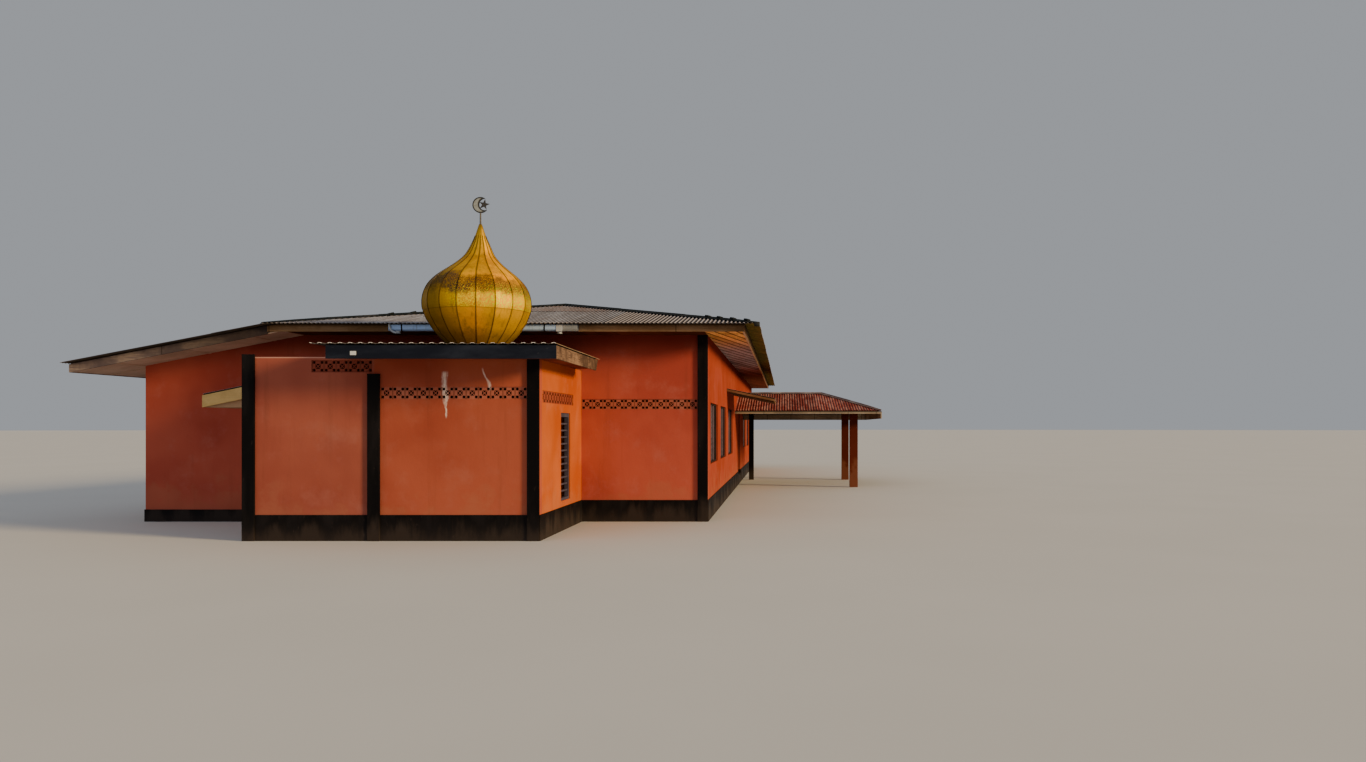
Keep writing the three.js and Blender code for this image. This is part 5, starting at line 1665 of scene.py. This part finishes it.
@dataclass
class Annex:
    """The red hipped roof of the open annex."""

    palette: Palette
    wall_x: float = 5.2
    front: float = -2.25
    rear: float = 3.25
    right: float = 9.39
    eave_z: float = 2.235
    ridge_z: float = 2.81
    ridge_x: float = 7.78

    def __post_init__(self) -> None:
        """Works out the rise, the half width and the middle line of the roof."""
        self.rise = self.ridge_z - self.eave_z
        self.middle = (self.front + self.rear) / 2.0
        self.half = (self.rear - self.front) / 2.0
        self.reach = self.right - self.ridge_x

    def height(self, x: float, y: float) -> float:
        """Returns the height of the annex roof above a point of the plan."""
        return min(self.ridge_z - self.rise * abs(y - self.middle) / self.half,
                   self.eave_z + self.rise * (self.right - x) / self.reach)

    def build(self) -> None:
        """Builds the sheets and cappings of the three planes."""
        middle, half, rise, reach = self.middle, self.half, self.rise, self.reach
        end = (self.ridge_x, middle)
        feet = {"front": (self.right, self.front), "rear": (self.right, self.rear)}
        width, outer = self.right - self.wall_x, (self.right, middle)
        front_cut = Cut(feet["front"], end, (self.wall_x, self.front))
        rear_cut = Cut(feet["rear"], end, (self.wall_x, self.rear))
        right_cuts = Cut(feet["front"], end, outer), Cut(feet["rear"], end, outer)
        slopes = {
            "front": Slope((self.wall_x, self.front, self.eave_z), (1, 0, 0), (0, half, rise), width,
                           math.hypot(half, rise), (front_cut,)),
            "right": Slope((self.right, self.front, self.eave_z), (0, 1, 0), (-reach, 0, rise), 2.0 * half,
                           math.hypot(reach, rise), right_cuts),
            "rear": Slope((self.right, self.rear, self.eave_z), (-1, 0, 0), (0, -half, rise), width,
                          math.hypot(half, rise), (rear_cut,)),
        }
        wave = Corrugation()
        screws = Shape()
        for seed, (name, slope) in enumerate(slopes.items()):
            across = Axis.Y if name == "right" else Axis.X
            finish = RedSheet(f"red_sheet_{name}", across, slope.corner[across.value])
            cover(f"annex_sheets_{name}", f"annex_roof_{name}", self.palette.get(finish), "red_sheet", slope, wave,
                  12.0 + seed)
            drive_screws(screws, slope, wave, (0.10, slope.length * 0.5, slope.length * 0.85))
        screws.publish("annex_screws", self.palette.get(CappingMetal("capping_metal")), "capping")
        caps = Shape()
        capping = Capping(half=0.11, roll=0.045, crown=0.024)
        for foot in feet.values():
            capping.lay(caps, foot, end, self.height)
        capping.lay(caps, (self.wall_x + 0.002, middle), end, self.height)
        caps.cut((self.right - 0.004, 0.0, 0.0), (1.0, 0.0, 0.0))
        caps.cut((0.0, self.front + 0.004, 0.0), (0.0, -1.0, 0.0))
        caps.cut((0.0, self.rear - 0.004, 0.0), (0.0, 1.0, 0.0))
        caps.thicken(capping.gauge)
        finish = CappingMetal("annex_capping_metal", (0.13, 0.085, 0.08), (0.30, 0.25, 0.24), (0.18, 0.07, 0.05))
        caps.publish("annex_cappings", self.palette.get(finish), "capping", (), 50.0)


class Carried:
    """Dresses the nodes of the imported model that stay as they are."""

    def __init__(self, nodes: Dict[str, bpy.types.Object], palette: Palette) -> None:
        """Keeps the nodes and the palette.

        Args:
            nodes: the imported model's nodes by name.
            palette: the finishes.
        """
        self.nodes = nodes
        self.palette = palette

    def dress(self, finish: Finish, *names: str) -> None:
        """Gives some nodes a finish."""
        for name in names:
            mesh = self.nodes[name].data
            mesh.materials.clear()
            mesh.materials.append(self.palette.get(finish))
            LOG.info("%s: %s", name, finish.name)

    def build(self) -> None:
        """Dresses every carried node."""
        self.dress_walls()
        self.dress_blocks()
        self.dress_boards()
        self.dress_metal()

    def dress_walls(self) -> None:
        """Dresses the render, the black bands and strips, and the concrete."""
        self.dress(WallPaint("wall_paint"), "hall_front_wall", "hall_left_wall", "hall_rear_wall", "room_left_wall")
        # painted shade: a darker copy of the wall paint for the hall's right wall, for the shade of its eave
        self.dress(WallPaint("shaded_side_wall_paint", (0.25, 0.038, 0.021), (0.30, 0.055, 0.031), (0.33, 0.098, 0.070)),
                   "hall_right_wall")
        # painted light: a lighter, more orange copy of the wall paint for the sunlit right wall of the front room
        self.dress(WallPaint("sunlit_room_side_paint", (0.38, 0.070, 0.008), (0.47, 0.112, 0.030), (0.48, 0.160, 0.100)),
                   "room_right_wall")
        self.dress(WallPaint("bay_wall_paint", (0.27, 0.065, 0.045), (0.34, 0.095, 0.062), (0.37, 0.140, 0.110),
                             top=2.825), "bay_wall")
        self.dress(WallPaint("porch_wall_paint", (0.29, 0.055, 0.032), (0.38, 0.088, 0.050), (0.40, 0.130, 0.090),
                             spilt=True), "porch_wall")
        # painted shade: the posts take a much darker copy of the wall paint, for the shade over them
        self.dress(WallPaint("shaded_post_paint", (0.075, 0.014, 0.007), (0.10, 0.020, 0.010), (0.12, 0.035, 0.02)),
                   "annex_post_front", "annex_post_rear")
        self.dress(DarkPaint("black_paint"), "plinth", "corner_strip", "pilaster_left", "pilaster_middle",
                   "pilaster_right", "annex_post_inner")
        self.dress(BareConcrete("floor_concrete"), "floor_slab")
        self.dress(BareConcrete("slab_concrete", (0.30, 0.27, 0.24)), "bay_roof_slab")

    def dress_blocks(self) -> None:
        """Dresses the rows of vent blocks, whose joints stand a block's width apart."""
        light = {"deep": (0.30, 0.078, 0.050), "warm": (0.39, 0.115, 0.075), "faded": (0.46, 0.20, 0.15),
                 "inside": (0.030, 0.006, 0.004)}
        # painted shade: the darker preset below is for the bay's blocks, which stand in the porch roof's shade
        dark = {"deep": (0.19, 0.040, 0.026), "warm": (0.24, 0.056, 0.036), "faded": (0.27, 0.09, 0.07),
                "inside": (0.10, 0.020, 0.012)}
        side = {"deep": (0.24, 0.050, 0.028), "warm": (0.30, 0.070, 0.038), "faded": (0.34, 0.12, 0.08),
                "inside": (0.030, 0.006, 0.004)}
        self.dress(WallPaint("hall_block_paint", shaded_reveal_axis=Axis.Y, joints=(Axis.X, 2.867, 0.195), **light),
                   "hall_vent_blocks")
        self.dress(WallPaint("porch_block_paint", shaded_reveal_axis=Axis.Y, joints=(Axis.X, 0.414, 0.188), spilt=True, **light),
                   "porch_vent_blocks")
        self.dress(WallPaint("shaded_bay_block_paint", joints=(Axis.X, -0.64, 0.186), **dark), "bay_vent_blocks")
        self.dress(WallPaint("side_block_paint", shaded_reveal_axis=Axis.X, joints=(Axis.Y, -15.21, 0.188), **side),
                   "right_vent_blocks", "left_vent_blocks")

    def dress_boards(self) -> None:
        """Dresses the fascias, the raking and eave boards and the soffits."""
        weathered = ((0.165, 0.105, 0.072), (0.30, 0.215, 0.155))
        self.dress(Board("tan_fascia", Axis.X, (0.24, 0.135, 0.066), (0.36, 0.235, 0.145), (0.022, 0.013, 0.006),
                         joint=(1.1, 3.6), top=3.575, shadow=0.06, gloom=(Axis.X, 3.5, 7.5)),
                   "fascia_front", "fascia_rear")
        # painted highlight: the right fascia's bottom face is painted pale
        self.dress(Board("olive_fascia", Axis.Y, (0.085, 0.050, 0.030), (0.16, 0.115, 0.070), joint=(-9.6, 3.6),
                         belly=(0.62, 0.42, 0.28)), "fascia_right")
        self.dress(Board("weathered_rake", Axis.X, (0.105, 0.080, 0.086), (0.26, 0.195, 0.158),
                         (0.028, 0.020, 0.017), wear=0.8, joint=(-4.4, 3.6), gloom=(Axis.X, -5.2, -2.9)),
                   "rake_board_front")
        self.dress(Board("weathered_eave", Axis.Y, *weathered, wear=0.9, joint=(0.0, 3.6)), "fascia_left")
        self.dress(Board("porch_left_board", Axis.Y, *weathered, wear=0.9), "porch_fascia_left")
        self.dress(Board("pale_soffit", Axis.Y, (0.53, 0.365, 0.265), (0.61, 0.45, 0.34), (0.18, 0.10, 0.06),
                         wear=0.35, joint=(0.0, 1.2)), "soffit_left")
        self.dress(Board("red_soffit", Axis.X, (0.19, 0.05, 0.028), (0.26, 0.09, 0.05), wear=0.4), "porch_soffit")
        self.dress(DarkPaint("navy_board", (0.008, 0.010, 0.018), (0.022, 0.027, 0.042), (0.085, 0.085, 0.100),
                             stretch=(0.3, 1.0, 1.0), dusty_below=0.0), "porch_fascia_front")
        self.dress(Board("cream_board", Axis.X, (0.54, 0.36, 0.14), (0.62, 0.46, 0.22), (0.20, 0.13, 0.06),
                         wear=0.35), "canopy_board")
        self.dress(Board("annex_wood", Axis.X, (0.25, 0.20, 0.145), (0.36, 0.30, 0.22), (0.035, 0.03, 0.025),
                         wear=0.6, joint=(6.83, 0.8), top=2.195), "annex_boards")

    def dress_metal(self) -> None:
        """Dresses the window slats, and the crescent and star at the top of the dome."""
        self.dress(FramePaint("slat_paint", (0.060, 0.052, 0.080)), "right_slatted_window", "left_slatted_window")
        x, z, offset, turn = 1.636, 5.391, 0.074, 0.12
        circles = ((x, z, 0.131), (x + offset * math.cos(turn), z + offset * math.sin(turn), 0.096))
        self.dress(PlainMetal("crescent_metal", (0.03, 0.028, 0.022), (0.34, 0.345, 0.30), circles, metallic=0.4),
                   "crescent")
        self.dress(PlainMetal("star_metal", (0.035, 0.03, 0.025), metallic=0.3), "star")


@dataclass
class Studio:
    """The plain floor, the camera and the soft lights."""

    palette: Palette
    eye: Point = (6.63, -30.75, 1.75)
    lens: float = 26.35
    frame_width: float = 1366.0
    principal: Tuple[float, float] = (785.0, 427.0)
    frame_height: float = 762.0

    def build(self) -> None:
        """Sets the stage."""
        bm = bmesh.new()
        bmesh.ops.create_circle(bm, cap_ends=True, segments=128, radius=600.0)
        mesh = bpy.data.meshes.new("studio_floor")
        bm.to_mesh(mesh)
        bm.free()
        mesh.materials.append(self.palette.get(StudioFloor("studio_floor")))
        floor = bpy.data.objects.new("studio_floor", mesh)
        bpy.context.scene.collection.objects.link(floor)
        self.light("key", (0.90, -0.36, 0.26), 4.9, 12.0, (1.0, 0.73, 0.37))
        self.light("fill", (-0.5, -0.8, 0.5), 0.45, 80.0, (0.95, 0.97, 1.0))
        world = bpy.data.worlds.new("studio_world")
        world.use_nodes = True
        background = world.node_tree.nodes["Background"]
        background.inputs["Color"].default_value = (0.80, 0.84, 0.90, 1.0)
        background.inputs["Strength"].default_value = 0.42
        bpy.context.scene.world = world
        self.place_camera()

    def light(self, name: str, source: Point, strength: float, angle: float, colour: Colour) -> None:
        """Adds a soft light.

        Args:
            name: its name.
            source: the direction that it comes from.
            strength: its strength.
            angle: how wide its disc is, in degrees.
            colour: its colour.
        """
        data = bpy.data.lights.new(name, "SUN")
        data.energy = strength
        data.angle = math.radians(angle)
        data.color = colour
        lamp = bpy.data.objects.new(name, data)
        lamp.rotation_euler = Vector(source).to_track_quat("Z", "Y").to_euler()
        bpy.context.scene.collection.objects.link(lamp)

    def place_camera(self) -> None:
        """Puts the camera where the photographer stood, level and square to the front."""
        data = bpy.data.cameras.new("camera")
        data.lens = self.lens
        data.sensor_width = 36.0
        data.shift_x = (self.frame_width / 2.0 - self.principal[0]) / self.frame_width
        data.shift_y = (self.principal[1] - self.frame_height / 2.0) / self.frame_width
        camera = bpy.data.objects.new("camera", data)
        camera.location = self.eye
        camera.rotation_euler = (math.pi / 2.0, 0.0, 0.0)
        bpy.context.scene.collection.objects.link(camera)
        bpy.context.scene.camera = camera


def main() -> None:
    """Builds the looks in order."""
    logging.basicConfig(level=logging.INFO, format="%(message)s")
    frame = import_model()
    palette = Palette()
    Studio(palette).build()
    Carried(frame["nodes"], palette).build()
    HallRoof(palette).build()
    Gutter(palette).build()
    SideWindows(palette, Side.RIGHT, skipped=(3, 4)).build()
    SideWindows(palette, Side.LEFT).build()
    PorchRoof(palette).build()
    Dome(palette).build()
    Canopy(palette).build()
    Awning(palette).build()
    Annex(palette).build()
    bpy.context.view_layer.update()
    LOG.info("sizes written")


if __name__ == "__main__":
    main()
